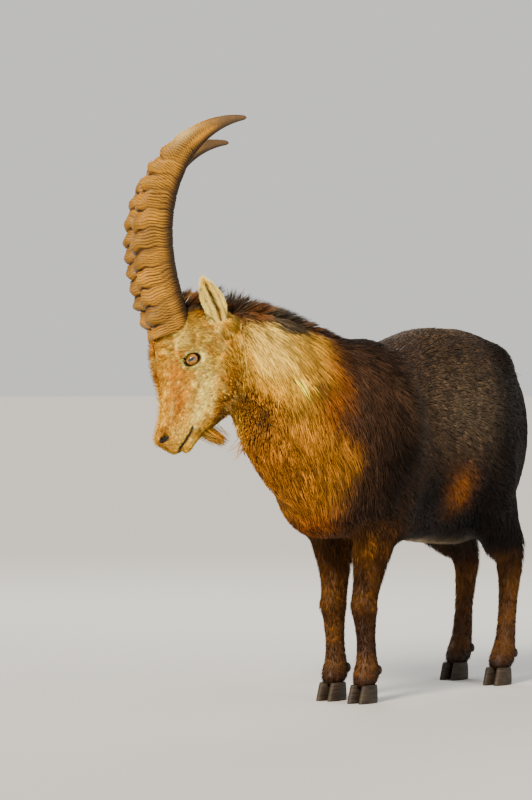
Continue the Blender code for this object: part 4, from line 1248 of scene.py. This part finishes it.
def grown(name, profile, weights, count, length, width, rise, seed, slot, material,
          spread=0.12, bend=0.10, leaders=0.10, pull=0.0, hug=False, dark_root=0.55, mottled=0.18,
          tip_tint=None, stand=0.0):
    """One piece of the coat. Length, width and rise are numbers, or values at the skin's points."""
    draw = np.random.default_rng(seed)
    corners, share = scattered(weights, count, draw)

    def at_roots(values):
        if np.ndim(values) == 0:
            return np.full(count, float(values))
        if values.ndim == 1:
            return (values[corners] * share).sum(1)
        return (values[corners] * share[:, :, None]).sum(1)

    roots = at_roots(skin_points)
    normals = unit(at_roots(skin_normals))
    lie = unit(at_roots(skin_lie))
    lie = unit(lie + np.cross(lie, normals) * draw.normal(0, spread, count)[:, None])
    across = unit(np.cross(lie, normals))
    long = at_roots(length) * draw.uniform(*LENGTH_RANGE, count)
    wide = at_roots(width) * draw.uniform(*WIDTH_RANGE, count)
    tall = at_roots(rise) * draw.uniform(*RISE_RANGE, count)
    swing = draw.normal(0, bend, count) * long
    way = unit(lie + normals * at_roots(stand)[:, None])
    stations = []
    for along, _, height in profile:
        place = roots + way * (long * along)[:, None] + across * (swing * along * abs(along))[:, None]
        if hug and along > 0.2:
            held = np.array([skin_tree.find_nearest(p)[0] for p in place])
            near = np.linalg.norm(held - place, axis=1) < HUG_REACH * along * long
            place[near] = held[near]
        stations.append(place + normals * (tall * height)[:, None])
    shade = draw.normal(0, mottled, count)
    if pull:
        gap, leader = drawn_together(roots, stations[-1], draw, leaders, pull)
        stations = [s + gap * max(0.0, row[0]) ** PULL_CURVE for s, row in zip(stations, profile)]
        shade = 0.60 * shade + 0.85 * shade[leader]
    base = at_roots(skin_colours) * np.exp(shade)[:, None]
    tips = blended(base, *tip_tint) if tip_tint else base
    centre = unwrapped(roots)
    points, tints, patches = [], [], []
    for (along, wider, _), place in zip(profile, stations):
        share_out = max(0.0, along)
        shading = dark_root + (1 - dark_root) * share_out**ROOT_FADE
        tone = (base * (1 - share_out) + tips * share_out) * shading
        side = across * (wide / 2 * wider)[:, None]
        ridge = normals * (wide * TUFT_RIDGE * wider)[:, None]
        ring = [place] if wider == 0 else [place - side, place + ridge, place + side]
        for k, point in enumerate(ring):
            points.append(point)
            tints.append(tone)
            sideways = (k - (len(ring) - 1) / 2) * PATCH / 2
            patches.append(centre + np.array([sideways, (along - 0.5) * PATCH]))
    faces = tuft_faces(len(profile) - 1)
    all_faces = (faces[None] + (np.arange(count) * len(points))[:, None, None]).reshape(-1, 3)
    obj = triangle_mesh(name, np.stack(points, axis=1).reshape(-1, 3), all_faces)
    painted(obj, np.clip(np.stack(tints, axis=1).reshape(-1, 3), *PAINT_RANGE))
    layer = obj.data.uv_layers.new(name="OFBake")
    flat = np.stack(patches, axis=1).reshape(-1, 2)
    layer.data.foreach_set("uv", flat[all_faces.ravel()].astype(np.float32).ravel())
    return settled(obj, material, slot)


def hair_material(name, roughness):
    """Hair: the tuft's own colour, darker at its root, with fine streaks and a soft gloss."""
    return tinted_material(
        name, roughness, specular=0.12, grain_size=0.0011, darkest=0.65, lightest=1.35)[0]


short_hair = hair_material("short_hair", 0.62)
body_hair = hair_material("body_hair", 0.55)
long_hair = hair_material("long_hair", 0.50)

head_part, neck_part, leg_part = shares(skin_points)
local = to_head(skin_points)
x, y, z = skin_points.T
rim, rim_out = eye_rim(skin_points)
off_eye = np.linalg.norm(folded_head(skin_points) - np.array(EYE_PLACE), axis=1)
bare = ((rim < 1.32) & (rim_out > -0.005)) | (nostril_rim(skin_points) < 1.0)
bare |= (mouth_gap(skin_points) < MOUTH_GROOVE) | (off_eye < EYE_RADIUS + 0.0015)
ears = on_ear(skin_points)
_, ear_depth, ear_wide = ear_share(skin_points)
neck_along, _, nape_angle = along_neck(skin_points)
turned = np.abs(nape_angle)
behind_cheek = ramp(0.060 - beyond_nape(skin_points), 0.0, 0.06)

# Face and ears, in needles
face_weight = head_part * (1 + 0.8 * ramp(local[:, 0], 0.12, 0.30))
face_length = 0.0065 + 0.009 * ramp(0.22 - local[:, 0], 0.0, 0.16) + 0.006 * ramp(-local[:, 2], 0.05, 0.12)
face_length = face_length + 0.010 * behind_cheek - 0.003 * ramp(-rim, -2.4, -1.2) * (rim_out > -0.01)
grown(
    "coat_face", NEEDLE, np.where(bare | ears, 0.0, face_weight), 44000,
    face_length, width=0.0019, rise=0.0018 + 0.10 * face_length, seed=31,
    slot="coat_straw", material=short_hair,
    spread=0.15, pull=0.30, leaders=0.12, mottled=0.32, dark_root=0.78)
ear_length = 0.007 + 0.008 * ramp(ear_depth, -0.017, -0.012) * (np.abs(ear_wide) < 0.022)
grown(
    "coat_ears", NEEDLE, np.where(ears, head_part, 0.0), 8000,
    ear_length, width=0.0015, rise=0.0026, seed=32,
    slot="coat_straw", material=short_hair, spread=0.2, mottled=0.15)

# The neck, in locks that are short behind the cheek, under the jaw and at the breast
neck_weight = neck_part * (1 - 0.7 * leg_part) * ramp(turned, 14, 30)
cheek_rear = 0.8 * head_part * behind_cheek * ramp(local[:, 2], -0.11, -0.07) * (local[:, 0] > 0.0)
neck_weight = np.maximum(neck_weight, cheek_rear * ~ears)
neck_length = (0.055 + 0.040 * ramp(turned, 40, 90)) * (1 - 0.62 * head_part)
neck_length = neck_length * (1 - 0.80 * ramp(turned, 126, 150) * ramp(neck_along, 0.54, 0.66))
neck_length = neck_length * (1 - 0.50 * ramp(0.56 - z, 0.0, 0.08))
neck_length = neck_length * (1 - 0.55 * ramp(turned, 146, 168) * ramp(neck_along, 0.40, 0.52))
for word, sign, seed in (("left", 1, 33), ("right", -1, 34)):
    grown(
        "coat_neck_" + word, LONG_LOCK, np.where(np.sign(nape_angle) == sign, neck_weight, 0.0), 12200,
        neck_length, width=0.0025, rise=0.0090, seed=seed, slot="coat_golden", material=long_hair,
        pull=0.50, leaders=0.05, hug=True, mottled=0.34, spread=0.08, bend=0.05, dark_root=0.45)
grown(
    "coat_neck_over", LONG_LOCK, neck_weight * ramp(turned, 20, 40), 7500,
    neck_length * 1.15, width=0.0021, rise=0.0120, seed=43, slot="coat_golden", material=long_hair,
    pull=0.35, leaders=0.08, hug=True, mottled=0.34, spread=0.10, bend=0.07, dark_root=0.65)

# The mane, in blades that stand off the nape and the poll
nape = ramp(26 - turned, 0, 14) * neck_part * ramp(neck_along, 0.22, 0.34)
poll = ramp(0.030 - np.abs(local[:, 1]), 0.0, 0.01) * head_part * ramp(0.02 - local[:, 0], 0.0, 0.02)
grown(
    "coat_mane", BLADE, np.maximum(nape, poll * ramp(local[:, 2], -0.06, -0.03)), 7000,
    0.040 + 0.018 * ramp(neck_along, 0.35, 0.7), width=0.0024, rise=0.004, seed=35,
    slot="coat_dark", material=long_hair, stand=0.25 + 0.42 * ramp(neck_along, 0.3, 0.9),
    pull=0.55, leaders=0.022, mottled=0.35, spread=0.25, dark_root=0.8, tip_tint=(NEAR_BLACK, 0.45))

# The trunk in four quarters, in bent tufts
front, left = x < 0.02, y < 0
quarters = {
    "fore_left": front & left, "fore_right": front & ~left,
    "rear_left": ~front & left, "rear_right": ~front & ~left,
}
trunk_weight = (1 - head_part) * (1 - neck_part) * (1 - leg_part * ramp(0.42 - z, 0.0, 0.05))
for seed, (word, quarter) in enumerate(quarters.items(), 36):
    grown(
        "coat_" + word, TUFT, np.where(quarter, trunk_weight, 0.0), 13000,
        0.032 + 0.010 * ramp(0.5 - z, 0.0, 0.1), width=0.0031, rise=0.0062, seed=seed,
        slot="coat_dark", material=body_hair,
        pull=0.35, leaders=0.12, mottled=0.30, spread=0.13, dark_root=0.35)

# The legs, in needles that grow longer and stand further off towards the elbow and the stifle
leg_weight = (1 - head_part) * ramp(0.45 - z, 0.0, 0.05)
for seed, (name, (foot, side, _)) in enumerate(FEET.items(), 40):
    near = (np.sign(y) == side) & (np.sign(x) == np.sign(foot[0])) & (z > 0.036)
    grown(
        "coat_" + name, NEEDLE, np.where(near, leg_weight, 0.0), 8500,
        0.011 + 0.014 * ramp(z, 0.10, 0.40), width=0.0022,
        rise=0.0034 + 0.0060 * ramp(z, 0.26, 0.42), seed=seed,
        slot="leg_hair", material=short_hair, spread=0.16, mottled=0.32, dark_root=0.45, pull=0.3)

grown(
    "coat_tail", LONG_LOCK, on_tail(skin_points), 1500,
    0.050 + 0.025 * ramp(0.78 - z, 0.0, 0.10), width=0.0026, rise=0.0060, seed=49,
    slot="coat_dark", material=long_hair,
    pull=0.45, leaders=0.05, mottled=0.35, spread=0.16, dark_root=0.5)

# The beard, in blades that hang from under the chin
under_chin = np.exp(-((local[:, 0] - 0.246) / 0.012) ** 2) * ramp(-local[:, 2], 0.050, 0.062)
grown(
    "coat_beard", BLADE, under_chin * (np.abs(local[:, 1]) < 0.016) * head_part, 620,
    0.054, width=0.0017, rise=0.001, seed=50, slot="coat_straw", material=long_hair, stand=3.2,
    spread=0.45, bend=0.16, pull=0.35, leaders=0.06, mottled=0.50, tip_tint=(AMBER, 0.60),
    dark_root=0.25)

# A collar of short hair round the root of each horn
HORN_DEPTH = 0.098
HORN_WIDTH = 0.066
HORN_BASE = (0.041, 0.103)
HORN_SIDE = 0.038
HORN_RISE = (-0.932, 0.363)
horn_way = np.array((HORN_RISE[0], 0, HORN_RISE[1]))
horn_off = folded_head(skin_points) - np.array((HORN_BASE[0], HORN_SIDE, HORN_BASE[1]))
horn_off = horn_off - horn_way * (horn_off @ horn_way)[:, None]
horn_ahead = np.hypot(horn_off[:, 0], horn_off[:, 2]) / (HORN_DEPTH / 2)
horn_rim = np.hypot(horn_off[:, 1] / (HORN_WIDTH / 2), horn_ahead)
collar = head_part * (horn_rim > 0.85) * (horn_rim < 1.32) * (local[:, 2] > 0.02)
grown(
    "coat_horn_collar", NEEDLE, collar, 3600,
    0.014, width=0.0019, rise=0.001, seed=51, slot="coat_straw", material=short_hair, stand=1.3,
    spread=0.6, pull=0.2, mottled=0.25, dark_root=0.7)


# The eyes
# Glass eyes as a museum sets them: an amber iris with fine dark rays and the goat's level slit of a
# pupil, under a clear domed front, in a dark ball that fills the socket behind the lids.

EYE_DOME = 0.0012
PUPIL_HALF = (0.48, 0.16)
AMBER_GLASS = (0.40, 0.165, 0.004, 1)
RAY_BROWN = (0.13, 0.042, 0.001, 1)
INNER_BROWN = (0.20, 0.070, 0.003, 1)
RING_BROWN = (0.016, 0.008, 0.004, 1)
PUPIL_BLACK = (0.004, 0.004, 0.005, 1)


def eye_material():
    made, shader = new_material("eye_glass", 0.08)
    shader.inputs["Coat Weight"].default_value = 1.0
    shader.inputs["Coat Roughness"].default_value = 0.02

    def worked(operation, *values):
        return node(made, "ShaderNodeMath", dict(enumerate(values)), operation=operation).outputs[0]

    def faded(value, low, high):
        inputs = {"Value": value, "From Min": low, "From Max": high}
        fade = node(made, "ShaderNodeMapRange", inputs, interpolation_type="SMOOTHSTEP")
        return fade.outputs["Result"]

    def layered(below, above, share):
        return node(made, "ShaderNodeMix", {6: below, 7: above, 0: share}, data_type="RGBA").outputs[2]

    place = node(made, "ShaderNodeAttribute", {}, attribute_name="eye_place").outputs["Vector"]
    parts = node(made, "ShaderNodeSeparateXYZ", {"Vector": place})
    along, across = parts.outputs["X"], parts.outputs["Y"]
    squares = worked("ADD", worked("MULTIPLY", along, along), worked("MULTIPLY", across, across))
    from_middle = worked("SQRT", squares)
    slit_along = worked("DIVIDE", worked("ABSOLUTE", along), PUPIL_HALF[0])
    slit_across = worked("DIVIDE", worked("ABSOLUTE", across), PUPIL_HALF[1])
    slit = worked("MAXIMUM", slit_along, slit_across)
    turn = worked("MULTIPLY", worked("ARCTAN2", across, along), 3.0)
    spun = node(made, "ShaderNodeCombineXYZ", {"X": turn, "Y": worked("MULTIPLY", from_middle, 0.6)})
    rays = node(
        made, "ShaderNodeTexNoise", {"Vector": spun.outputs["Vector"], "Scale": 5},
        noise_dimensions="2D").outputs["Fac"]
    iris = layered(AMBER_GLASS, RAY_BROWN, faded(rays, 0.35, 0.7))
    iris = layered(iris, INNER_BROWN, worked("MULTIPLY", faded(from_middle, 0.5, 0.2), 0.6))
    iris = layered(iris, RING_BROWN, faded(from_middle, 0.66, 0.80))
    finished = layered(iris, PUPIL_BLACK, faded(slit, 1.10, 0.90))
    made.node_tree.links.new(finished, shader.inputs["Base Color"])
    return made


def eyeball(side, word):
    """A ball with a slightly domed front, with each point's place on it kept for the iris."""
    centre, out, along, across = eye_frame(side)
    deselect()
    bpy.ops.mesh.primitive_uv_sphere_add(segments=56, ring_count=40, radius=1)
    eye = bpy.context.object
    eye.name = "eyeball_" + word
    points = corners_of(eye)
    seat = np.stack([points[:, 0], points[:, 1] * side, points[:, 2]], axis=1)
    layer = eye.data.attributes.new("eye_place", "FLOAT_VECTOR", "POINT")
    layer.data.foreach_set("vector", seat.astype(np.float32).ravel())
    front = ramp(points[:, 2], 0.80, 1.0)
    size = (EYE_RADIUS - EYE_DOME / 2 + EYE_DOME * front)[:, None]
    moved_to(eye, (points * size) @ np.array([along, across, out]) + np.array(centre))
    applied(eye, "SUBSURF", levels=1, render_levels=1)
    into_head(eye)
    turned_outwards(eye.data)
    return eye


eye_finish = eye_material()
for side, word in ((1, "left"), (-1, "right")):
    settled(eyeball(side, word), eye_finish, "eye", "eye_" + word)


# The horns
# Sheaths of keratin over bone, swept up and back, with a knob across the front for each spring's
# growth, thin rings between, a dark rear edge and tips worn smooth and pale before they darken.

HORN_LENGTH = 0.625
HORN_SPREAD = 0.150
HORN_ROOT = 0.026
HORN_STATIONS = 640
HORN_AROUND = 44
HORN_SQUARED = 2.5
HORN_KNOBS = 12
KNOBS_END = 0.80
KNOB_HEIGHT = 0.0092
HORN_TAPER = [
    # share of the length, share of the size at the base
    (0, 1), (0.15, 1.02), (0.35, 0.99), (0.5, 0.94), (0.62, 0.83),
    (0.72, 0.68), (0.82, 0.49), (0.91, 0.30), (1.0, 0.10),
]
HORN_BROWN = (0.250, 0.105, 0.005)
KNOB_BROWN = (0.330, 0.170, 0.022)
SIDE_YELLOW = (0.520, 0.270, 0.024)
LINE_DARK = (0.022, 0.008, 0.001)
SEAM_DARK = (0.012, 0.005, 0.002)
REAR_DARK = (0.016, 0.008, 0.003)
WORN_PALE = (0.480, 0.340, 0.120)
TIP_DARK = (0.050, 0.032, 0.018)


def horn_turn(share):
    """How far the horn has turned back from the way that it rises, in radians."""
    share = max(share, 0)
    return math.radians(-21 + 25 * share + 86 * share * share)


def horn_line(count):
    """Places along the horn in head space, from its root under the skin: (share, centre, front)."""
    rise = Vector(HORN_RISE)
    back = Vector((-HORN_RISE[1], HORN_RISE[0]))
    first = -round(HORN_ROOT * count)
    turn = horn_turn(0)
    sunk_root = (rise * math.cos(turn) + back * math.sin(turn)) * (HORN_LENGTH * first / count)
    place = Vector(HORN_BASE) + sunk_root
    found = []
    for i in range(first, count + 1):
        turn = horn_turn(i / count)
        way = rise * math.cos(turn) + back * math.sin(turn)
        front = rise * math.sin(turn) - back * math.cos(turn)
        found.append((i / count, place.copy(), front))
        place += way * (HORN_LENGTH / count)
    return found


def squared(values):
    """Cosines or sines for a rounded square."""
    return np.copysign(np.abs(values) ** (2 / HORN_SQUARED), values)


def horn_surface(side):
    """Points of the sheath, ring by ring, with the colour of each."""
    draw = np.random.default_rng(60 + side)
    angles = 2 * math.pi * np.arange(HORN_AROUND) / HORN_AROUND
    c, s = squared(np.cos(angles)), squared(np.sin(angles))
    facing = ramp(s, 0.30, 0.92)
    # One summer's growth between two knobs, each a little longer or shorter than the last
    growth = np.cumsum(np.r_[0, draw.uniform(0.84, 1.16, HORN_KNOBS)])
    knob_ends = growth / growth[-1] * (KNOBS_END + HORN_ROOT) - HORN_ROOT
    heights = draw.uniform(0.65, 1.30, HORN_KNOBS + 1)
    outward = np.array((0, side, 0))
    points, colours = [], []
    for t, flat, front in horn_line(HORN_STATIONS):
        across = HORN_SIDE + HORN_SPREAD * t - 0.02 * t * t
        centre = np.array((flat.x, side * across, flat.y))
        ahead = np.array((front.x, 0, front.y))
        size = np.interp(t, *zip(*HORN_TAPER))
        size = size * math.sqrt(max(0.02, 1 - (max(0.0, t - 0.985) / 0.015) ** 2))
        # Growth lines dip towards the front of a horn and wander a little
        wander = 0.005 * np.sin(3 * angles + 9 * t) + 0.003 * np.sin(7 * angles - 23 * t)
        lines = np.maximum(t + 0.018 * ramp(s, -0.6, 0.9) + wander, -HORN_ROOT)
        beat = np.interp(lines, knob_ends, np.arange(HORN_KNOBS + 1.0))
        beat = beat + np.maximum(lines - KNOBS_END, 0) / KNOBS_END * HORN_KNOBS
        number = np.clip(beat.astype(int), 0, HORN_KNOBS)
        phase = beat % 1.0
        live = np.clip((HORN_KNOBS - beat) / 3, 0, 1)
        swell = np.sin(math.pi * phase**0.75) ** 3 * heights[number] * live
        knob = KNOB_HEIGHT * swell * facing
        side_swell = 0.0016 * swell * ramp(s, -0.80, 0.3)
        jitter = noise(np.stack([lines * 90, angles * 0.8, angles * 0 + side], axis=1), 1.0, 61)
        broad = noise(np.stack([lines * 14, angles * 0.7, angles * 0 + 3 * side], axis=1), 1.0, 62)
        fine = np.sin(2 * math.pi * beat * 6.5 + 2.2 * jitter)
        line = ramp(fine, 0.30, 0.92) * np.clip((0.88 - t) * 6, 0, 1) * np.clip(0.80 + 0.6 * jitter, 0, 1)
        seam = ramp(np.cos(2 * math.pi * phase), 0.84, 1.0) * live
        groove = 0.0019 * line * (1 - 0.40 * facing) + 0.0048 * seam * (0.25 + 0.75 * facing)
        deep = HORN_DEPTH / 2 * size
        wide = HORN_WIDTH / 2 * size * (0.90 + 0.14 * s) + 0.25 * knob + side_swell - groove * np.abs(c)
        ring = centre + outward * (c * wide)[:, None] + ahead * (s * deep + knob - groove * s)[:, None]
        points.append(ring)
        crest = 0.75 * math.exp(-((t - 0.755) / 0.05) ** 2) * ramp(s, 0.0, 0.8)
        colours.append(laid_over(
            plain(HORN_BROWN, angles) * np.exp(0.55 * broad + 0.25 * jitter)[:, None],
            (KNOB_BROWN, 0.55 * np.clip(swell, 0, 1) * facing),
            (SIDE_YELLOW, 0.45 * ramp(-fine, 0.2, 1.0) * (1 - facing)),
            (LINE_DARK, 0.92 * line * (1 - 0.35 * facing)),
            (SEAM_DARK, 0.96 * seam * (0.45 + 0.55 * facing)),
            (REAR_DARK, 0.94 * ramp(-s, 0.25, 0.85)),
            (WORN_PALE, crest),
            (TIP_DARK, 0.85 * ramp(t, 0.80, 0.92))))
    return np.array(points), np.concatenate(colours)


horn_finish, horn_grain = tinted_material(
    "horn_sheath", roughness=0.52, specular=0.20, grain_size=0.005, darkest=0.60, lightest=1.30)
bumped(horn_finish, horn_grain, depth=0.0012, strength=0.6)
for side, word in ((1, "left"), (-1, "right")):
    rings, colours = horn_surface(side)
    horn = skin_rings("sheath_" + word, rings.tolist())
    painted(horn, colours)
    into_head(horn)
    settled(horn, horn_finish, "horn", "horn_" + word)


# The hooves
# Two horny toes to each foot, pointed in front and flat underneath, with the dewclaws behind the
# fetlock. Growth rings run round the wall.

TOE_WIDTH = 0.0305
CLEFT_HALF = 0.0009
TOE_SQUARED = 2.6
TOE_LEVELS = [
    # height, reach to the tip, reach to the heel, share of the width
    (0.000, 0.0485, 0.027, 0.97),
    (0.0015, 0.050, 0.028, 1.00),
    (0.010, 0.047, 0.030, 1.00),
    (0.028, 0.039, 0.030, 0.96),
    (0.042, 0.032, 0.028, 0.92),
    (0.0452, 0.029, 0.026, 0.86),
]
DEWCLAW_SIZE = (0.010, 0.008, 0.013)
DEWCLAW_TURN = math.radians(-25)
HOOF_DARK = (0.007, 0.005, 0.004, 1)
HOOF_PALE = (0.052, 0.034, 0.020, 1)


def hoof_material():
    """Dark horn with rings that are far closer up the wall than round it."""
    made, shader = new_material("hoof_horn", 0.6, 0.25)
    place = node(made, "ShaderNodeTexCoord", {}).outputs["Object"]
    drawn_out = node(made, "ShaderNodeMapping", {"Vector": place, "Scale": (30, 30, 260)})
    rings = node(
        made, "ShaderNodeTexNoise",
        {"Vector": drawn_out.outputs["Vector"], "Scale": 1.0, "Detail": 4}).outputs["Fac"]
    tone = node(made, "ShaderNodeValToRGB", {"Fac": rings})
    stops = tone.color_ramp.elements
    for stop, position, colour in zip(stops, (0.3, 0.75), (HOOF_DARK, HOOF_PALE)):
        stop.position = position
        stop.color = colour
    made.node_tree.links.new(tone.outputs["Color"], shader.inputs["Base Color"])
    bumped(made, rings, depth=0.0010, strength=0.7)
    return made


def toe(name, foot, inward):
    """One half of a cloven hoof, flat on the floor, its wall ringed and its tip rounded."""
    middle_line = foot[1] + inward * (TOE_WIDTH / 2 + CLEFT_HALF)
    rings = []
    for i, (height, tip, heel, share) in enumerate(through(TOE_LEVELS, 4)):
        ripple = 1 + 0.006 * math.sin(i * 2.3)
        ring = []
        for j in range(32):
            c, s = rounded(2 * math.pi * j / 32, TOE_SQUARED)
            reach = (heel if c > 0 else tip) * ripple
            narrow = 1 - 0.35 * max(0, -c) ** 2
            across = s * TOE_WIDTH / 2 * share * narrow
            ring.append((foot[0] - 0.004 + c * reach, middle_line + across, max(0.0, height)))
        rings.append(ring)
    return skin_rings(name, rings)


hoof_finish = hoof_material()
for name, (foot, _, _) in FEET.items():
    for word, inward in (("a", -1), ("b", 1)):
        piece = toe(f"{name}_hoof_{word}", foot, inward)
        settled(piece, hoof_finish, "hoof", f"{name}_toe_{word}")
        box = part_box(f"{name}_dewclaw_{word}")
        middle = (box[0] + box[1]) / 2 - SHIFT
        turn = Matrix.Rotation(DEWCLAW_TURN, 4, "Y")
        claw = lump(f"{name}_claw_{word}", middle, DEWCLAW_SIZE, turn)
        settled(claw, hoof_finish, "hoof", f"{name}_dewclaw_{word}")


# The studio
# A plain pale floor, a broad warm key from in front of the animal, a fill and a rim, and the camera
# at the photograph's place.

FLOOR_GREY = (0.50, 0.50, 0.50, 1)
SKY = (1.0, 0.99, 0.96, 1)
SKY_STRENGTH = 0.80
LAMP_AIM = Vector((0, 0, 0.7))
LAMPS = [
    # name, place, size, power, colour
    ("fill", (-1.5, -4.5, 2.0), 2.5, 60, (1.0, 0.98, 0.95)),
    ("rim", (3.0, 2.5, 3.5), 1.8, 120, (1.0, 0.97, 0.92)),
]
SUN_WAY = Vector((-1.0, -0.10, 0.62))
SUN_COLOUR = (1.0, 0.87, 0.66)
SUN_POWER = 7.0
SUN_SOFTNESS = math.radians(14)
AIM = Vector((-0.184, 0.319, 0.75)) + SHIFT
CAMERA_AZIMUTH = math.radians(-60)
CAMERA_RISE = math.radians(1.5)
CAMERA_DISTANCE = 12.0
LONG_SIDE = 36.0
FOCAL_PIXELS = 4676
FRAME_HEIGHT = 800

floor_paint, floor_shader = new_material("floor_paint", 0.9)
floor_shader.inputs["Base Color"].default_value = FLOOR_GREY
deselect()
bpy.ops.mesh.primitive_circle_add(vertices=96, radius=30, fill_type="NGON")
floor = bpy.context.object
floor.name = "floor"
floor.data.materials.append(floor_paint)

world = bpy.data.worlds.new("studio")
bpy.context.scene.world = world
world.use_nodes = True
world.node_tree.nodes["Background"].inputs["Color"].default_value = SKY
world.node_tree.nodes["Background"].inputs["Strength"].default_value = SKY_STRENGTH


def aimed(obj, place, away):
    """Puts a lamp or the camera at a place, with its back turned this way."""
    obj.location = place
    obj.rotation_mode = "QUATERNION"
    obj.rotation_quaternion = away.to_track_quat("Z", "Y")


def lamp(name, kind, place, away, power, colour):
    made = bpy.data.lights.new(name, kind)
    made.energy = power
    made.color = colour
    aimed(linked(name, made), place, away)
    return made


for name, place, size, power, colour in LAMPS:
    lamp(name, "AREA", place, Vector(place) - LAMP_AIM, power, colour).size = size
lamp("key", "SUN", (0, 0, 0), SUN_WAY, SUN_POWER, SUN_COLOUR).angle = SUN_SOFTNESS

lens = bpy.data.cameras.new("camera")
lens.sensor_width = LONG_SIDE
lens.lens = FOCAL_PIXELS / FRAME_HEIGHT * LONG_SIDE
camera = linked("camera", lens)
bpy.context.scene.camera = camera
away = Vector((
    math.sin(CAMERA_AZIMUTH) * math.cos(CAMERA_RISE),
    -math.cos(CAMERA_AZIMUTH) * math.cos(CAMERA_RISE),
    math.sin(CAMERA_RISE)))
aimed(camera, AIM + away * CAMERA_DISTANCE, away)
